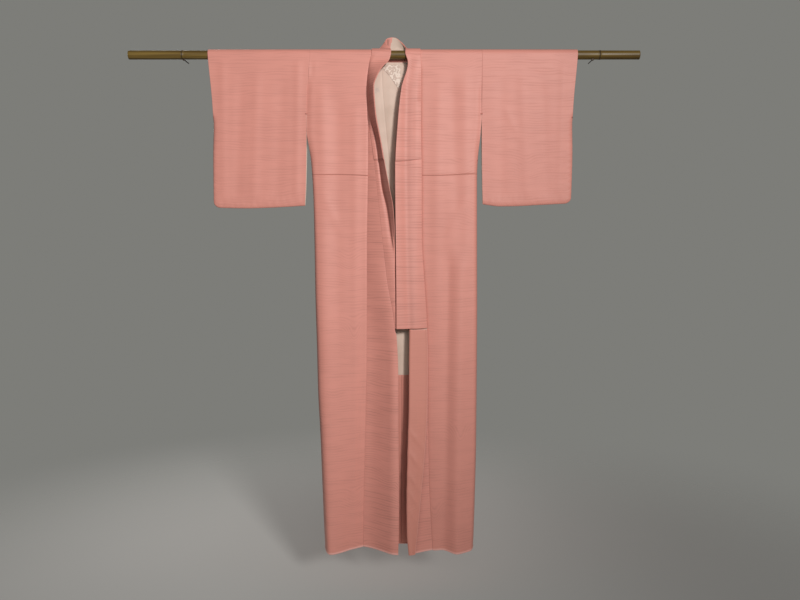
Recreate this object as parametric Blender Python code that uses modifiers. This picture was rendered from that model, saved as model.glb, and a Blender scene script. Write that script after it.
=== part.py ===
"""A woman's lined silk kimono hung open on a bamboo pole that rests on two nails.

Frame: metres, +Z up, +X towards the wearer's left sleeve, the open front faces -Y.
The origin is on the pole's axis, at the garment's centre line.
"right" and "left" are the wearer's sides: right is -X and left is +X.

Every cloth piece is an open sheet, placed by a function of two coordinates, with a
wall added evenly on both sides. A place along a length of cloth that runs over the pole
is one number q: below 0 it hangs in front at height q, from 0 to 1 it goes over the
pole, and above 1 it hangs behind at height 1 - q.
"""

import math

import bmesh
import bpy
import numpy as np

# ---- driving dimensions ------------------------------------------------------------
WALL = 0.0015  # outer silk with its lining
LINING_WALL = 0.0010  # a single lining cloth
SEAM_GAP = 0.0009  # between the middles of two edges sewn side by side: their faces come to about 0.3 mm
LAYER = 0.0020  # from the middle of one layer to the middle of the next

POLE_R = 0.0140
POLE_END_RIGHT = -0.844
POLE_END_LEFT = 0.789
POLE_NODES = (-0.672, -0.405, -0.135, 0.135, 0.400, 0.661)  # the bamboo's joints
NODE_SWELL = 0.0009
NAIL_X = {"right": -0.665, "left": 0.637}
NAIL_R = 0.0017
NAIL_HEAD_R = 0.0042
NAIL_FRONT = -0.0125
NAIL_BACK = 0.0450

CLOTH_R = 0.0165  # middle of the cloth where it goes over the pole
GARMENT = 1.610  # shoulder line down to the hem
SLEEVE = 0.482  # pole axis down to a sleeve's bottom fold
WRIST = 0.200  # the wrist opening ends here
ARMHOLE = 0.188  # the sleeve is sewn to the body down to here
SIDE_OPENING = 0.335  # the body's side seam starts here
TUCK = 0.382  # the tuck seam across the bodice
TUCK_STEP = 0.0009  # the cloth above the tuck stands this far out over the cloth below
KENSAKI = 0.210  # top point of the overlap panel
COLLAR_END = 0.875  # lower end of the collar
OVER_COLLAR_END = 0.335  # lower end of the over-collar
LINING_END = 1.0355  # the white lining ends and the hem lining starts
BACK_Y = 0.0125  # the back hangs this far behind the pole's axis
NECK_DROP = 0.0200  # back neck edge under the pole's axis
NECK = {"right": -0.0670, "left": 0.0885}  # collar seam on top of the pole

# Outlines: (height, x) pairs, top to bottom.
SIDE = {
    "right": ((0.0, -0.2640), (-0.185, -0.2757), (-0.238, -0.2760), (-0.286, -0.2700), (-0.335, -0.2630), (-0.46, -0.2564),
              (-0.59, -0.2542), (-0.785, -0.2522), (-0.93, -0.2488), (-1.08, -0.2462), (-1.22, -0.2400), (-1.385, -0.2345), (-1.52, -0.2300), (-1.61, -0.2262)),
    "left": ((0.0, 0.2852), (-0.19, 0.2846), (-0.248, 0.2815), (-0.316, 0.2749), (-0.372, 0.2720),
             (-0.59, 0.2733), (-0.884, 0.2755), (-1.25, 0.2751), (-1.454, 0.2717), (-1.557, 0.2691), (-1.61, 0.2671)),
}
SLEEVE_INNER = {
    "right": ((0.0, -0.2648), (-0.185, -0.2765), (-0.286, -0.2775), (-0.43, -0.2814), (-0.482, -0.2846)),
    "left": ((0.0, 0.2860), (-0.19, 0.2856), (-0.40, 0.2892), (-0.482, 0.2918)),
}
SLEEVE_OUTER = {
    "right": ((0.0, -0.5878), (-0.20, -0.5750), (-0.34, -0.5790), (-0.482, -0.5800)),
    "left": ((0.0, 0.5885), (-0.20, 0.5766), (-0.34, 0.5792), (-0.482, 0.5775)),
}
SLEEVE_BOTTOM = {  # (x, height)
    "right": ((-0.580, -0.4850), (-0.4785, -0.4872), (-0.3976, -0.4850), (-0.2846, -0.4788)),
    "left": ((0.2918, -0.4740), (0.3472, -0.4808), (0.3957, -0.4803), (0.4604, -0.4771), (0.5775, -0.4710)),
}
FRONT_SEAM = {  # front panel's inner edge: neck, then the overlap panel's seam
    "right": ((0.0, -0.0670), (-0.035, -0.0736), (-0.080, -0.0795), (-0.11, -0.0812), (-0.205, -0.0790), (-0.334, -0.0793),
              (-0.59, -0.0835), (-0.916, -0.0846), (-1.25, -0.0915), (-1.453, -0.0965), (-1.61, -0.0990)),
    "left": ((0.0, 0.0885), (-0.05, 0.0912), (-0.24, 0.0915), (-0.35, 0.0942), (-0.59, 0.0953), (-0.75, 0.1052), (-0.874, 0.1124),
             (-1.10, 0.1152), (-1.35, 0.1188), (-1.61, 0.1310)),
}
# Hem waves: (share of the front panel from side seam to inner seam, y at the hem).
HEM_WAVE = {
    "right": ((0.0, -0.0260), (0.15, -0.0410), (0.47, -0.0340), (0.73, -0.0200), (0.95, -0.0095), (1.0, -0.0090)),
    "left": ((0.0, -0.0230), (0.22, -0.0340), (0.42, -0.0390), (0.62, -0.0320), (0.85, -0.0240), (1.0, -0.0230)),
}
# The right overlap panel's outer edge: slanted along the collar, then free.
OVERLAP_EDGE = ((-0.21, -0.0768), (-0.3346, -0.0599), (-0.424, -0.0500), (-0.574, -0.0344), (-0.7186, -0.0185), (-0.8247, 0.0005),
                (-0.880, 0.0078), (-0.892, 0.0115), (-1.026, 0.0172), (-1.17, 0.0175), (-1.4385, 0.0195), (-1.54, 0.0188), (-1.61, 0.0168))
OVERLAP_EDGE_Y = ((-0.21, -0.0152), (-0.26, -0.0180), (-0.3346, -0.0225), (-0.574, -0.0320), (-0.7186, -0.0380), (-0.8247, -0.0435), (-0.892, -0.0450),
                  (-1.026, -0.0460), (-1.17, -0.0480), (-1.4385, -0.0510), (-1.61, -0.0530))

# The right collar: sections (height, then (x, y) from its seam to its free edge).
COLLAR_RIGHT = (
    (0.0, (-0.0666, -0.0165), (-0.0545, -0.0165), (-0.0424, -0.0165), (-0.0303, -0.0165), (-0.0182, -0.0165), (-0.0060, -0.0165)),
    (-0.020, (-0.0703, -0.0165), (-0.0650, -0.0185), (-0.0560, -0.0190), (-0.0430, -0.0190), (-0.0280, -0.0190), (-0.0120, -0.0190)),
    (-0.042, (-0.0744, -0.0158), (-0.0712, -0.0200), (-0.0640, -0.0245), (-0.0540, -0.0285), (-0.0425, -0.0320), (-0.0305, -0.0350)),
    (-0.078, (-0.0789, -0.0155), (-0.0764, -0.0228), (-0.0722, -0.0325), (-0.0660, -0.0420), (-0.0580, -0.0500), (-0.0490, -0.0570)),
    (-0.110, (-0.0803, -0.0150), (-0.0778, -0.0232), (-0.0742, -0.0350), (-0.0700, -0.0460), (-0.0645, -0.0560), (-0.0582, -0.0650)),
    (-0.188, (-0.0781, -0.0150), (-0.0747, -0.0198), (-0.0708, -0.0290), (-0.0655, -0.0390), (-0.0598, -0.0510), (-0.0531, -0.0625)),
    (-0.275, (-0.0680, -0.0205), (-0.0585, -0.0245), (-0.0511, -0.0255), (-0.0470, -0.0370), (-0.0425, -0.0480), (-0.0374, -0.0590)),
    (-0.354, (-0.0575, -0.0235), (-0.0492, -0.0280), (-0.0418, -0.0290), (-0.0365, -0.0400), (-0.0305, -0.0510), (-0.0239, -0.0615)),
    (-0.424, (-0.0496, -0.0262), (-0.0410, -0.0315), (-0.0326, -0.0330), (-0.0262, -0.0440), (-0.0188, -0.0545), (-0.0107, -0.0640)),
    (-0.488, (-0.0430, -0.0287), (-0.0305, -0.0345), (-0.0182, -0.0365), (-0.0120, -0.0445), (-0.0055, -0.0525), (0.0012, -0.0600)),
    (-0.565, (-0.0348, -0.0317), (-0.0200, -0.0380), (-0.0075, -0.0400), (-0.0025, -0.0440), (0.0020, -0.0475), (0.0055, -0.0505)),
    (-0.654, (-0.0253, -0.0352), (-0.0100, -0.0410), (0.0030, -0.0425), (0.0078, -0.0410), (0.0082, -0.0350), (0.0050, -0.0290)),
    (-0.740, (-0.0146, -0.0392), (-0.0020, -0.0430), (0.0080, -0.0435), (0.0096, -0.0340), (0.0062, -0.0235), (-0.0060, -0.0150)),
    (-0.822, (0.0004, -0.0434), (0.0062, -0.0448), (0.0108, -0.0430), (0.0110, -0.0310), (0.0045, -0.0180), (-0.0250, -0.0090)),
    (-0.875, (0.0074, -0.0447), (0.0105, -0.0450), (0.0126, -0.0420), (0.0118, -0.0300), (0.0040, -0.0175), (-0.0430, -0.0095)),
)
COLLAR_LEFT = (
    (0.0, (0.0881, -0.0165), (0.0790, -0.0165), (0.0695, -0.0165), (0.0600, -0.0165), (0.0505, -0.0165), (0.0410, -0.0165)),
    (-0.027, (0.0896, -0.0165), (0.0800, -0.0172), (0.0710, -0.0168), (0.0620, -0.0170), (0.0550, -0.0185), (0.0488, -0.0200)),
    (-0.112, (0.0906, -0.0165), (0.0785, -0.0205), (0.0655, -0.0195), (0.0525, -0.0195), (0.0400, -0.0245), (0.0275, -0.0270)),
    (-0.210, (0.0904, -0.0200), (0.0770, -0.0245), (0.0625, -0.0230), (0.0480, -0.0220), (0.0330, -0.0295), (0.0170, -0.0325)),
    (-0.361, (0.0926, -0.0225), (0.0770, -0.0290), (0.0610, -0.0272), (0.0455, -0.0270), (0.0275, -0.0350), (0.0086, -0.0390)),
    (-0.590, (0.0940, -0.0255), (0.0780, -0.0325), (0.0620, -0.0325), (0.0460, -0.0350), (0.0285, -0.0430), (0.0106, -0.0480)),
    (-0.750, (0.1040, -0.0285), (0.0855, -0.0365), (0.0665, -0.0390), (0.0480, -0.0425), (0.0300, -0.0490), (0.0122, -0.0535)),
    (-0.875, (0.1113, -0.0305), (0.0915, -0.0400), (0.0715, -0.0440), (0.0515, -0.0470), (0.0320, -0.0520), (0.0128, -0.0550)),
)
# The collar round the back of the neck: (seam edge, free edge), from right to left.
NAPE = (
    ((-0.0666, -0.0117, 0.0117), (-0.0060, -0.0117, 0.0117)),
    ((-0.0664, 0.0000, 0.0165), (-0.0085, -0.0030, 0.0185)),
    ((-0.0655, 0.0117, 0.0117), (-0.0175, 0.0035, 0.0310)),
    ((-0.0610, 0.0164, -0.0010), (-0.0215, 0.0085, 0.0440)),
    ((-0.0470, 0.0172, -0.0150), (-0.0165, 0.0120, 0.0535)),
    ((-0.0180, 0.0178, -0.0178), (-0.0050, 0.0140, 0.0575)),
    ((0.0120, 0.0180, -0.0178), (0.0095, 0.0140, 0.0560)),
    ((0.0420, 0.0178, -0.0178), (0.0215, 0.0125, 0.0470)),
    ((0.0690, 0.0172, -0.0150), (0.0330, 0.0095, 0.0345)),
    ((0.0830, 0.0164, -0.0010), (0.0395, 0.0050, 0.0250)),
    ((0.0868, 0.0117, 0.0117), (0.0415, -0.0020, 0.0195)),
    ((0.0878, 0.0000, 0.0165), (0.0412, -0.0090, 0.0150)),
    ((0.0880, -0.0117, 0.0117), (0.0410, -0.0138, 0.0095)),
)
# The left overlap panel's pleat: height, fold (x, y), free edge (x, y).
PLEAT = (
    (-0.212, (0.0885, -0.0160), (0.0900, -0.0171)),
    (-0.335, (0.0825, -0.0170), (0.0910, -0.0184)),
    (-0.470, (0.0750, -0.0190), (0.0922, -0.0196)),
    (-0.600, (0.0690, -0.0215), (0.0933, -0.0212)),
    (-0.750, (0.0620, -0.0255), (0.1030, -0.0228)),
    (-0.880, (0.0553, -0.0300), (0.1108, -0.0245)),
    (-0.960, (0.0545, -0.0320), (0.1132, -0.0255)),
    (-1.110, (0.0537, -0.0360), (0.1119, -0.0300)),
    (-1.260, (0.0500, -0.0410), (0.1045, -0.0345)),
    (-1.440, (0.0467, -0.0475), (0.0890, -0.0420)),
    (-1.540, (0.0478, -0.0510), (0.0790, -0.0460)),
    (-1.610, (0.0536, -0.0530), (0.0715, -0.0490)),
)

COLOURS = {  # linear colour, roughness, metallic
    "silk": ((0.70, 0.28, 0.23), 0.55, 0.0),
    "white_silk": ((0.78, 0.70, 0.60), 0.60, 0.0),
    "hem_silk": ((0.72, 0.33, 0.27), 0.60, 0.0),
    "bamboo": ((0.33, 0.20, 0.07), 0.50, 0.0),
    "steel": ((0.05, 0.045, 0.04), 0.55, 1.0),
}


# ---- curves and sections -----------------------------------------------------------
def mix(a, b, t):
    return a + (b - a) * t


def ease(t):
    t = min(max(t, 0.0), 1.0)
    return t * t * (3.0 - 2.0 * t)


def along(table, t):
    """A smooth curve through (t, value) pairs, which may rise or fall in t. It never overshoots."""
    if table[0][0] > table[-1][0]:
        table = table[::-1]
    ts = [row[0] for row in table]
    vs = [row[1] for row in table]
    if t <= ts[0]:
        return vs[0]
    if t >= ts[-1]:
        return vs[-1]
    k = max(i for i in range(len(ts) - 1) if ts[i] <= t)
    slopes = [(vs[i + 1] - vs[i]) / (ts[i + 1] - ts[i]) for i in range(len(ts) - 1)]

    def tangent(i):
        if i == 0:
            return slopes[0]
        if i == len(ts) - 1:
            return slopes[-1]
        a, b = slopes[i - 1], slopes[i]
        return 0.0 if a * b <= 0 else 2.0 * a * b / (a + b)

    h = ts[k + 1] - ts[k]
    u = (t - ts[k]) / h
    return ((2 * u**3 - 3 * u**2 + 1) * vs[k] + (u**3 - 2 * u**2 + u) * h * tangent(k)
            + (3 * u**2 - 2 * u**3) * vs[k + 1] + (u**3 - u**2) * h * tangent(k + 1))


def height(q):
    return q if q <= 0 else (CLOTH_R * math.sin(math.pi * q) if q < 1 else 1.0 - q)


def over_pole(q, radius=CLOTH_R):
    """(y, z) on the pole for q from 0, in front, to 1, behind."""
    return -radius * math.cos(math.pi * q), radius * math.sin(math.pi * q)


def back_y(z):
    return mix(CLOTH_R, BACK_Y, ease(-z / 0.7))


def opened(z):
    """How far the waves of the hem have opened out at this height, 0 to 1."""
    return max(0.0, min(1.0, (-z - 0.10) / (GARMENT - 0.10))) ** 1.25


def over_tuck(z):
    """The cloth above the tuck seam stands out a little, and lies flat again higher up."""
    return TUCK_STEP * ease(1.0 - (-z) / TUCK * 0.55) if z > -TUCK else 0.0


def body_front(side, v, z):
    """v runs from 0 at the side to 1 at the neck edge or the overlap panel's seam."""
    x = mix(along(SIDE[side], z), along(FRONT_SEAM[side], z), v)
    flat = -0.0135 - 0.0025 * math.exp(-((z / 0.25) ** 2))
    waved = mix(-CLOTH_R, along(HEM_WAVE[side], v), opened(z))
    y = mix(flat, waved, ease(-z / 0.9))
    if z < -0.15:
        y -= over_tuck(z) * ease((-z - 0.15) / 0.2)
    return x, y, z - 0.42 * (-y - 0.008) * opened(z)


def body_back(side, v, z):
    """v runs from 0 at the side to 1 at the neck point and 2 at the centre seam."""
    neck = NECK[side]
    centre = -SEAM_GAP / 2 if side == "right" else SEAM_GAP / 2
    x = mix(along(SIDE[side], z), neck, v) if v <= 1 else mix(neck, centre, v - 1)
    return x, back_y(z), z


def body_point(side, q, v):
    if q <= 0:
        return body_front(side, v, q)
    if q >= 1:
        return body_back(side, v, 1.0 - q)
    y, z = over_pole(q)
    return mix(along(SIDE[side], 0.0), NECK[side], v), y, z


# ---- meshes ------------------------------------------------------------------------
def material(name):
    colour, rough, metal = COLOURS[name]
    found = bpy.data.materials.new(name)
    found.use_nodes = True
    shader = found.node_tree.nodes["Principled BSDF"]
    shader.inputs["Base Color"].default_value = (*colour, 1.0)
    shader.inputs["Roughness"].default_value = rough
    shader.inputs["Metallic"].default_value = metal
    found.diffuse_color = (*colour, 1.0)
    return found


def link(name, mesh, colour, collection):
    obj = bpy.data.objects.new(name, mesh)
    mesh.materials.append(material(colour))
    collection.objects.link(obj)
    return obj


def cloth(name, points, quads, colour, collection, wall=WALL):
    """An open sheet of quads made into a wall, its face towards the outside of the garment."""
    mesh = bpy.data.meshes.new(name)
    mesh.from_pydata(points, [], quads)
    bm = bmesh.new()
    bm.from_mesh(mesh)
    bmesh.ops.recalc_face_normals(bm, faces=bm.faces)
    bm.to_mesh(mesh)
    bm.free()
    obj = link(name, mesh, colour, collection)
    shell = obj.modifiers.new("Wall", "SOLIDIFY")
    shell.thickness = wall
    shell.offset = 0.0
    shell.use_even_offset = False
    for face in mesh.polygons:
        face.use_smooth = True
    return obj


def grid(rows, columns, place, keep=lambda i, j: True, close_rows=False):
    """Points and quads of a grid; keep says which quads exist."""
    points = [tuple(place(r, c)) for r in rows for c in columns]
    n = len(columns)
    last = len(rows) if close_rows else len(rows) - 1
    quads = []
    for i in range(last):
        for j in range(n - 1):
            if keep(i, j):
                k = (i + 1) % len(rows)
                quads.append((i * n + j, i * n + j + 1, k * n + j + 1, k * n + j))
    used = sorted({p for quad in quads for p in quad})
    index = {p: k for k, p in enumerate(used)}
    return [points[p] for p in used], [tuple(index[p] for p in quad) for quad in quads], index


ARC = [k / 6 for k in range(1, 6)]


# ---- the pieces --------------------------------------------------------------------
def make_pole(collection):
    """Bamboo: a turned profile with a swelling at each joint, laid along X."""
    profile = [(0.0, POLE_END_LEFT), (POLE_R - 0.001, POLE_END_LEFT), (POLE_R, POLE_END_LEFT - 0.001)]
    for x in sorted(POLE_NODES, reverse=True):
        profile += [(POLE_R, x + 0.006), (POLE_R + NODE_SWELL, x + 0.0015), (POLE_R - 0.0004, x - 0.0005), (POLE_R, x - 0.004)]
    profile += [(POLE_R, POLE_END_RIGHT + 0.001), (POLE_R - 0.001, POLE_END_RIGHT), (0.0, POLE_END_RIGHT)]
    return turned("pole", profile, 16, "bamboo", collection, (0, 0, 0), (0, math.pi / 2, 0))


def make_nail(side, collection):
    """A round wire nail, its head at the front, running back under the pole."""
    length = NAIL_BACK - NAIL_FRONT
    profile = [(0.0, length), (NAIL_HEAD_R * 0.8, length), (NAIL_HEAD_R, length - 0.0006), (NAIL_HEAD_R, length - 0.0018),
               (NAIL_R, length - 0.0030), (NAIL_R, 0.0), (0.0, 0.0)]
    low = -(POLE_R + SEAM_GAP + NAIL_R)
    return turned("nail_" + side, profile, 12, "steel", collection, (NAIL_X[side], NAIL_BACK, low), (math.pi / 2, 0, 0))


def turned(name, profile, steps, colour, collection, location, rotation):
    mesh = bpy.data.meshes.new(name)
    mesh.from_pydata([(r, 0.0, h) for r, h in profile], [(k, k + 1) for k in range(len(profile) - 1)], [])
    obj = link(name, mesh, colour, collection)
    screw = obj.modifiers.new("Turn", "SCREW")
    screw.steps = screw.render_steps = steps
    screw.use_merge_vertices = True
    screw.merge_threshold = 0.00001
    screw.use_smooth_shade = True
    obj.location = location
    obj.rotation_euler = rotation
    return obj


def make_sleeve(side, collection):
    """One cloth over the pole, closed along the bottom and below the wrist opening."""
    heights = [-SLEEVE, -0.470, -0.410, -0.335, -0.268, -WRIST, -ARMHOLE, -0.110, -0.042, 0.0]
    rows = heights + ARC + [1.0 - z for z in reversed(heights)]
    shares = [0.0, 0.015, 0.055, 0.22, 0.42, 0.61, 0.80, 1.0]  # from the outer edge to the inner edge

    def place(q, s):
        z = height(q)
        flat = q if q <= 0 else (0.0 if q < 1 else 1.0 - q)
        x = mix(along(SLEEVE_OUTER[side], flat), along(SLEEVE_INNER[side], flat), s)
        if 0 < q < 1:
            y, z = over_pole(q)
            return x, y, z
        low = along(SLEEVE_BOTTOM[side], x)
        from_edge = abs(x - along(SLEEVE_OUTER[side], flat))
        corner = 0.020
        if from_edge < corner:
            low += corner - math.sqrt(corner**2 - (corner - from_edge) ** 2)
        z = flat * mix(1.0, -low / SLEEVE, ease(-flat / SLEEVE))
        depth = mix(CLOTH_R, 0.0046, ease(-flat / SLEEVE) ** 0.9)
        depth = mix(depth, min(depth, 0.0050), ease((0.012 - from_edge) / 0.012) * ease((-flat - WRIST + 0.03) / 0.06))
        return x, -depth if q <= 0 else depth, z

    points, quads, index = grid(rows, shares, place, close_rows=True)
    n, total = len(shares), len(rows)
    closed = heights.index(-WRIST)
    for i in range(closed):  # the outer seam, front to back
        a, b = i * n, (i + 1) * n
        c, d = (total - 2 - i) * n, (total - 1 - i) * n
        quads.append((index[a], index[b], index[c], index[d]))
    return cloth("sleeve_" + side, points, quads, "silk", collection)


SEAM_HEIGHTS = [-0.875, -0.750, -0.610, -0.490, -TUCK - 0.002, -TUCK + 0.002, -SIDE_OPENING, -0.286, -0.238, -KENSAKI, -ARMHOLE,
                -0.110, -0.078, -0.042, -0.020, 0.0]
HEM_HEIGHTS = [-GARMENT, -1.530, -1.420, -1.280, -1.140, -1.000]


def make_body(side, collection):
    """Front and back in one length over the shoulder, joined down the side below the side opening."""
    low = HEM_HEIGHTS + [z for z in SEAM_HEIGHTS if z <= -SIDE_OPENING]
    rows = HEM_HEIGHTS + SEAM_HEIGHTS + ARC + [1.0, 1.0 + NECK_DROP, 1.110, 1.0 + ARMHOLE, 1.262] + [1.0 - z for z in reversed(low)]
    columns = [0.0, 0.10, 0.24, 0.44, 0.68, 0.86, 1.0, 1.5, 2.0]
    inner = columns.index(1.0)
    neck_row = rows.index(1.0 + NECK_DROP)

    points, quads, index = grid(rows, columns, lambda q, v: body_point(side, q, min(v, 1.0) if q < 1.0 + NECK_DROP else v),
                                keep=lambda i, j: j < inner or i >= neck_row)
    n, total = len(columns), len(rows)
    for i in range(len(low) - 1):  # the side seam
        a, b = i * n, (i + 1) * n
        c, d = (total - 2 - i) * n, (total - 1 - i) * n
        quads.append((index[a], index[b], index[c], index[d]))
    return cloth("body_" + side, points, quads, "silk", collection)


def overlap_right(z, s):
    """The right overlap panel: s runs from the front seam to the slanted collar edge or free edge."""
    x0, y0, low = body_front("right", 1.0, z)
    x1, y1 = along(OVERLAP_EDGE, z), along(OVERLAP_EDGE_Y, z)
    rise = mix(1.0 - (1.0 - s) ** 1.7, ease(s) ** 1.25, 0.85 * ease((-z - 0.60) / 0.40))
    y = mix(y0, y1, rise)
    return mix(x0 + SEAM_GAP, x1, s), y, mix(low, z - 0.013 * opened(z), s)


def make_overlap_right(collection):
    rows = HEM_HEIGHTS + [-0.893] + [z for z in SEAM_HEIGHTS if z <= -KENSAKI]
    columns = [0.0, 0.18, 0.38, 0.68, 1.0]
    points, quads, _ = grid(rows, columns, overlap_right)
    return cloth("overlap_right", points, quads, "silk", collection)


def overlap_left(z, s):
    """The left overlap panel: s is 0 at the front seam, 1 at the pleat's fold and 2 at the free edge."""
    x0, y0, low = body_front("left", 1.0, z)
    xf, yf, xe, ye = (along([(row[0], row[k][c]) for row in PLEAT], z) for k, c in ((1, 0), (1, 1), (2, 0), (2, 1)))
    bend = min(0.0035, 0.35 * (x0 - xf))  # the fold is round
    half = mix(0.00105, 0.0028, ease((x0 - xf) / 0.03))
    bottom = z - 0.012 * opened(z)
    if s <= 0.8:
        t = s / 0.8
        return mix(x0 - SEAM_GAP, xf + bend, t), mix(y0, yf + half, t**1.3), mix(low, bottom, t)
    if s <= 1.2:
        t = (s - 0.8) / 0.4 * math.pi
        return xf + bend * (1 - math.sin(t)), yf + half * math.cos(t), bottom
    t = (s - 1.2) / 0.8
    return mix(xf + bend, xe, t), mix(yf - half, ye, t), bottom


PLEAT_HEIGHTS = HEM_HEIGHTS + [z for z in SEAM_HEIGHTS if z <= -KENSAKI]


def make_overlap_left(collection):
    columns = [0.0, 0.4, 0.8, 1.0, 1.2, 1.6, 2.0]
    points, quads, _ = grid(PLEAT_HEIGHTS, columns, overlap_left)
    return cloth("overlap_left", points, quads, "silk", collection)


def make_turned_facing(collection):
    """The overlap's hem lining, turned to the front below the collar: it lies on the overlap's points, moved out."""
    rows = HEM_HEIGHTS + [-COLLAR_END]
    columns = [1.12, 1.3, 1.65, 1.985]
    move = (WALL + LINING_WALL) / 2 + 0.0014

    def place(z, s):
        x, y, low = overlap_left(z, s)
        ahead = overlap_left(z, min(s + 0.01, 2.0))
        back = overlap_left(z, s - 0.01)
        tx, ty = ahead[0] - back[0], ahead[1] - back[1]
        size = math.hypot(tx, ty)
        return x + move * ty / size, y - move * tx / size, low

    points, quads, _ = grid(rows, columns, place)
    return cloth("facing_left", points, quads, "hem_silk", collection, LINING_WALL)


def collar_leg(side, z):
    """A section of the collar where it hangs in front, from its seam to its free edge."""
    table = COLLAR_RIGHT if side == "right" else COLLAR_LEFT
    row = []
    for k in range(1, len(table[0])):
        row.append((along([(r[0], r[k][0]) for r in table], z), along([(r[0], r[k][1]) for r in table], z), z))
    if side == "right":
        if z <= -KENSAKI:
            row[0] = (along(OVERLAP_EDGE, z) + SEAM_GAP, along(OVERLAP_EDGE_Y, z), z)
        else:
            x, y, _ = body_front("right", 1.0, z)
            row[0] = (x + SEAM_GAP + 0.0004, y, z)  # the collar stands up from this seam, so its wall leans over it
    elif z > -0.15:
        x, y, _ = body_front("left", 1.0, z)
        row[0] = (x - SEAM_GAP, y, z)
    return row


def collar_sections():
    """The collar's sections from the right leg's end, round the neck, to the left leg's end."""
    sections = [collar_leg("right", z) for z in SEAM_HEIGHTS]
    for seam, free in NAPE:
        row = []
        for k in range(6):
            t = k / 5
            x, y, z = (mix(seam[i], free[i], t) for i in range(3))
            if z > 0.018 and y > 0:  # the standing part leans a little back, then its lip turns forward
                y += 0.0035 * math.sin(math.pi * t)
            reach, clear = math.hypot(y, z), CLOTH_R + 0.0008
            if reach < clear:
                y, z = y * clear / reach, z * clear / reach
            row.append((x, y, z))
        sections.append(row)
    return sections + [collar_leg("left", z) for z in reversed(SEAM_HEIGHTS)]


def make_collar(collection):
    sections = collar_sections()
    points, quads, _ = grid(range(len(sections)), range(6), lambda i, j: sections[i][j])
    return cloth("collar", points, quads, "silk", collection)


def make_over_collar(collection):
    """It lies on the collar, so it is made from the collar's points, moved out, a little in from its seam."""
    sections = [[np.array(p) for p in row] for row in collar_sections()]
    move = WALL + 0.0010
    n, m = len(sections), 6

    def facing(i, j):
        """The way out of the quad between sections i and i + 1 and columns j and j + 1."""
        du = sections[i + 1][j] - sections[i][j] + sections[i + 1][j + 1] - sections[i][j + 1]
        dv = sections[i][j + 1] - sections[i][j] + sections[i + 1][j + 1] - sections[i + 1][j]
        out = np.cross(dv, du)
        return out / np.linalg.norm(out)

    moved = []
    for i in range(n):
        row = []
        for j in range(m):
            around = [facing(a, b) for a in (i - 1, i) for b in (j - 1, j) if 0 <= a < n - 1 and 0 <= b < m - 1]
            out = sum(around)
            at = sections[i][j]
            if j == 0:
                reach = float(np.linalg.norm(sections[i][1] - at))
                at = mix(at, sections[i][1], max(0.15, min(0.6, 0.0040 / reach)))
            out = out / np.linalg.norm(out)
            if j <= 1 and out[0] * at[0] > 0 and abs(out[0]) < 0.5:  # near the seam it moves out of the front, not over the body's edge
                out = np.array([0.0, out[1], out[2]])
                out = out / np.linalg.norm(out)
            row.append(at + move * out / max(0.55, min(float(out @ way) for way in around)))
        moved.append(row)
    first = min(i for i in range(n) if sections[i][0][2] >= -0.30)
    last = max(i for i in range(n) if sections[i][0][2] >= -0.30)

    def cut(inside, outside):
        rows = []
        for a, b in zip(inside, outside):
            t = (-OVER_COLLAR_END - a[2]) / (b[2] - a[2])
            rows.append(a + (b - a) * t)
        return rows

    chosen = [cut(moved[first], moved[first - 1])] + moved[first:last + 1] + [cut(moved[last], moved[last + 1])]
    points, quads, _ = grid(range(len(chosen)), range(m), lambda i, j: [float(c) for c in chosen[i][j]])
    return cloth("over_collar", points, quads, "silk", collection)


def back_lining_y(z):
    return back_y(z) - LAYER


HEM_LINING_SEAM = 0.0280  # the hem lining's centre seam hangs off centre, in the open front
LINING_SEAM = ((-0.026, -0.0360), (-0.10, -0.0330), (-0.18, -0.0265), (-0.35, -0.0120), (-0.60, 0.0), (-1.61, 0.0))  # it hangs off centre at the neck


def make_back_lining(side, collection):
    edge = -1 if side == "right" else 1
    rows = [-0.026, -0.10, -0.18, -0.26, -0.35, -0.47, -0.60, -0.80, -LINING_END + SEAM_GAP / 2]
    columns = [0.0, 0.5, 1.0]

    def place(z, s):
        outer = along(SIDE[side], z) - edge * 0.006
        return mix(outer, along(LINING_SEAM, z) + edge * SEAM_GAP / 2, s), back_lining_y(z), z

    points, quads, _ = grid(rows, columns, place)
    return cloth("back_lining_" + side, points, quads, "white_silk", collection, LINING_WALL)


def make_hem_lining(side, collection):
    edge = -1 if side == "right" else 1
    rows = [-LINING_END - SEAM_GAP / 2, -1.32, -GARMENT + 0.010]
    columns = [0.0, 0.5, 1.0]

    def place(z, s):
        outer = along(SIDE[side], z) - edge * 0.006
        return mix(outer, HEM_LINING_SEAM + edge * SEAM_GAP / 2, s), back_lining_y(z), z

    points, quads, _ = grid(rows, columns, place)
    return cloth("hem_lining_" + side, points, quads, "hem_silk", collection, LINING_WALL)


def make_nape_patch(collection):
    """A figured patch on the back lining under the neck, its edges cut on the slant."""
    columns = [-0.0365, -0.0225, -0.0065, 0.0080, 0.0240]

    def place(t, x):
        low = along(((-0.0365, -0.0330), (-0.0065, -0.0680), (0.0080, -0.0885), (0.0240, -0.1080)), x)
        z = mix(-0.028, low, t)
        return x, back_lining_y(z) - LINING_WALL - SEAM_GAP, z

    points, quads, _ = grid([0.0, 0.5, 1.0], columns, place)
    return cloth("nape_patch", points, quads, "white_silk", collection, LINING_WALL)


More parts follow.
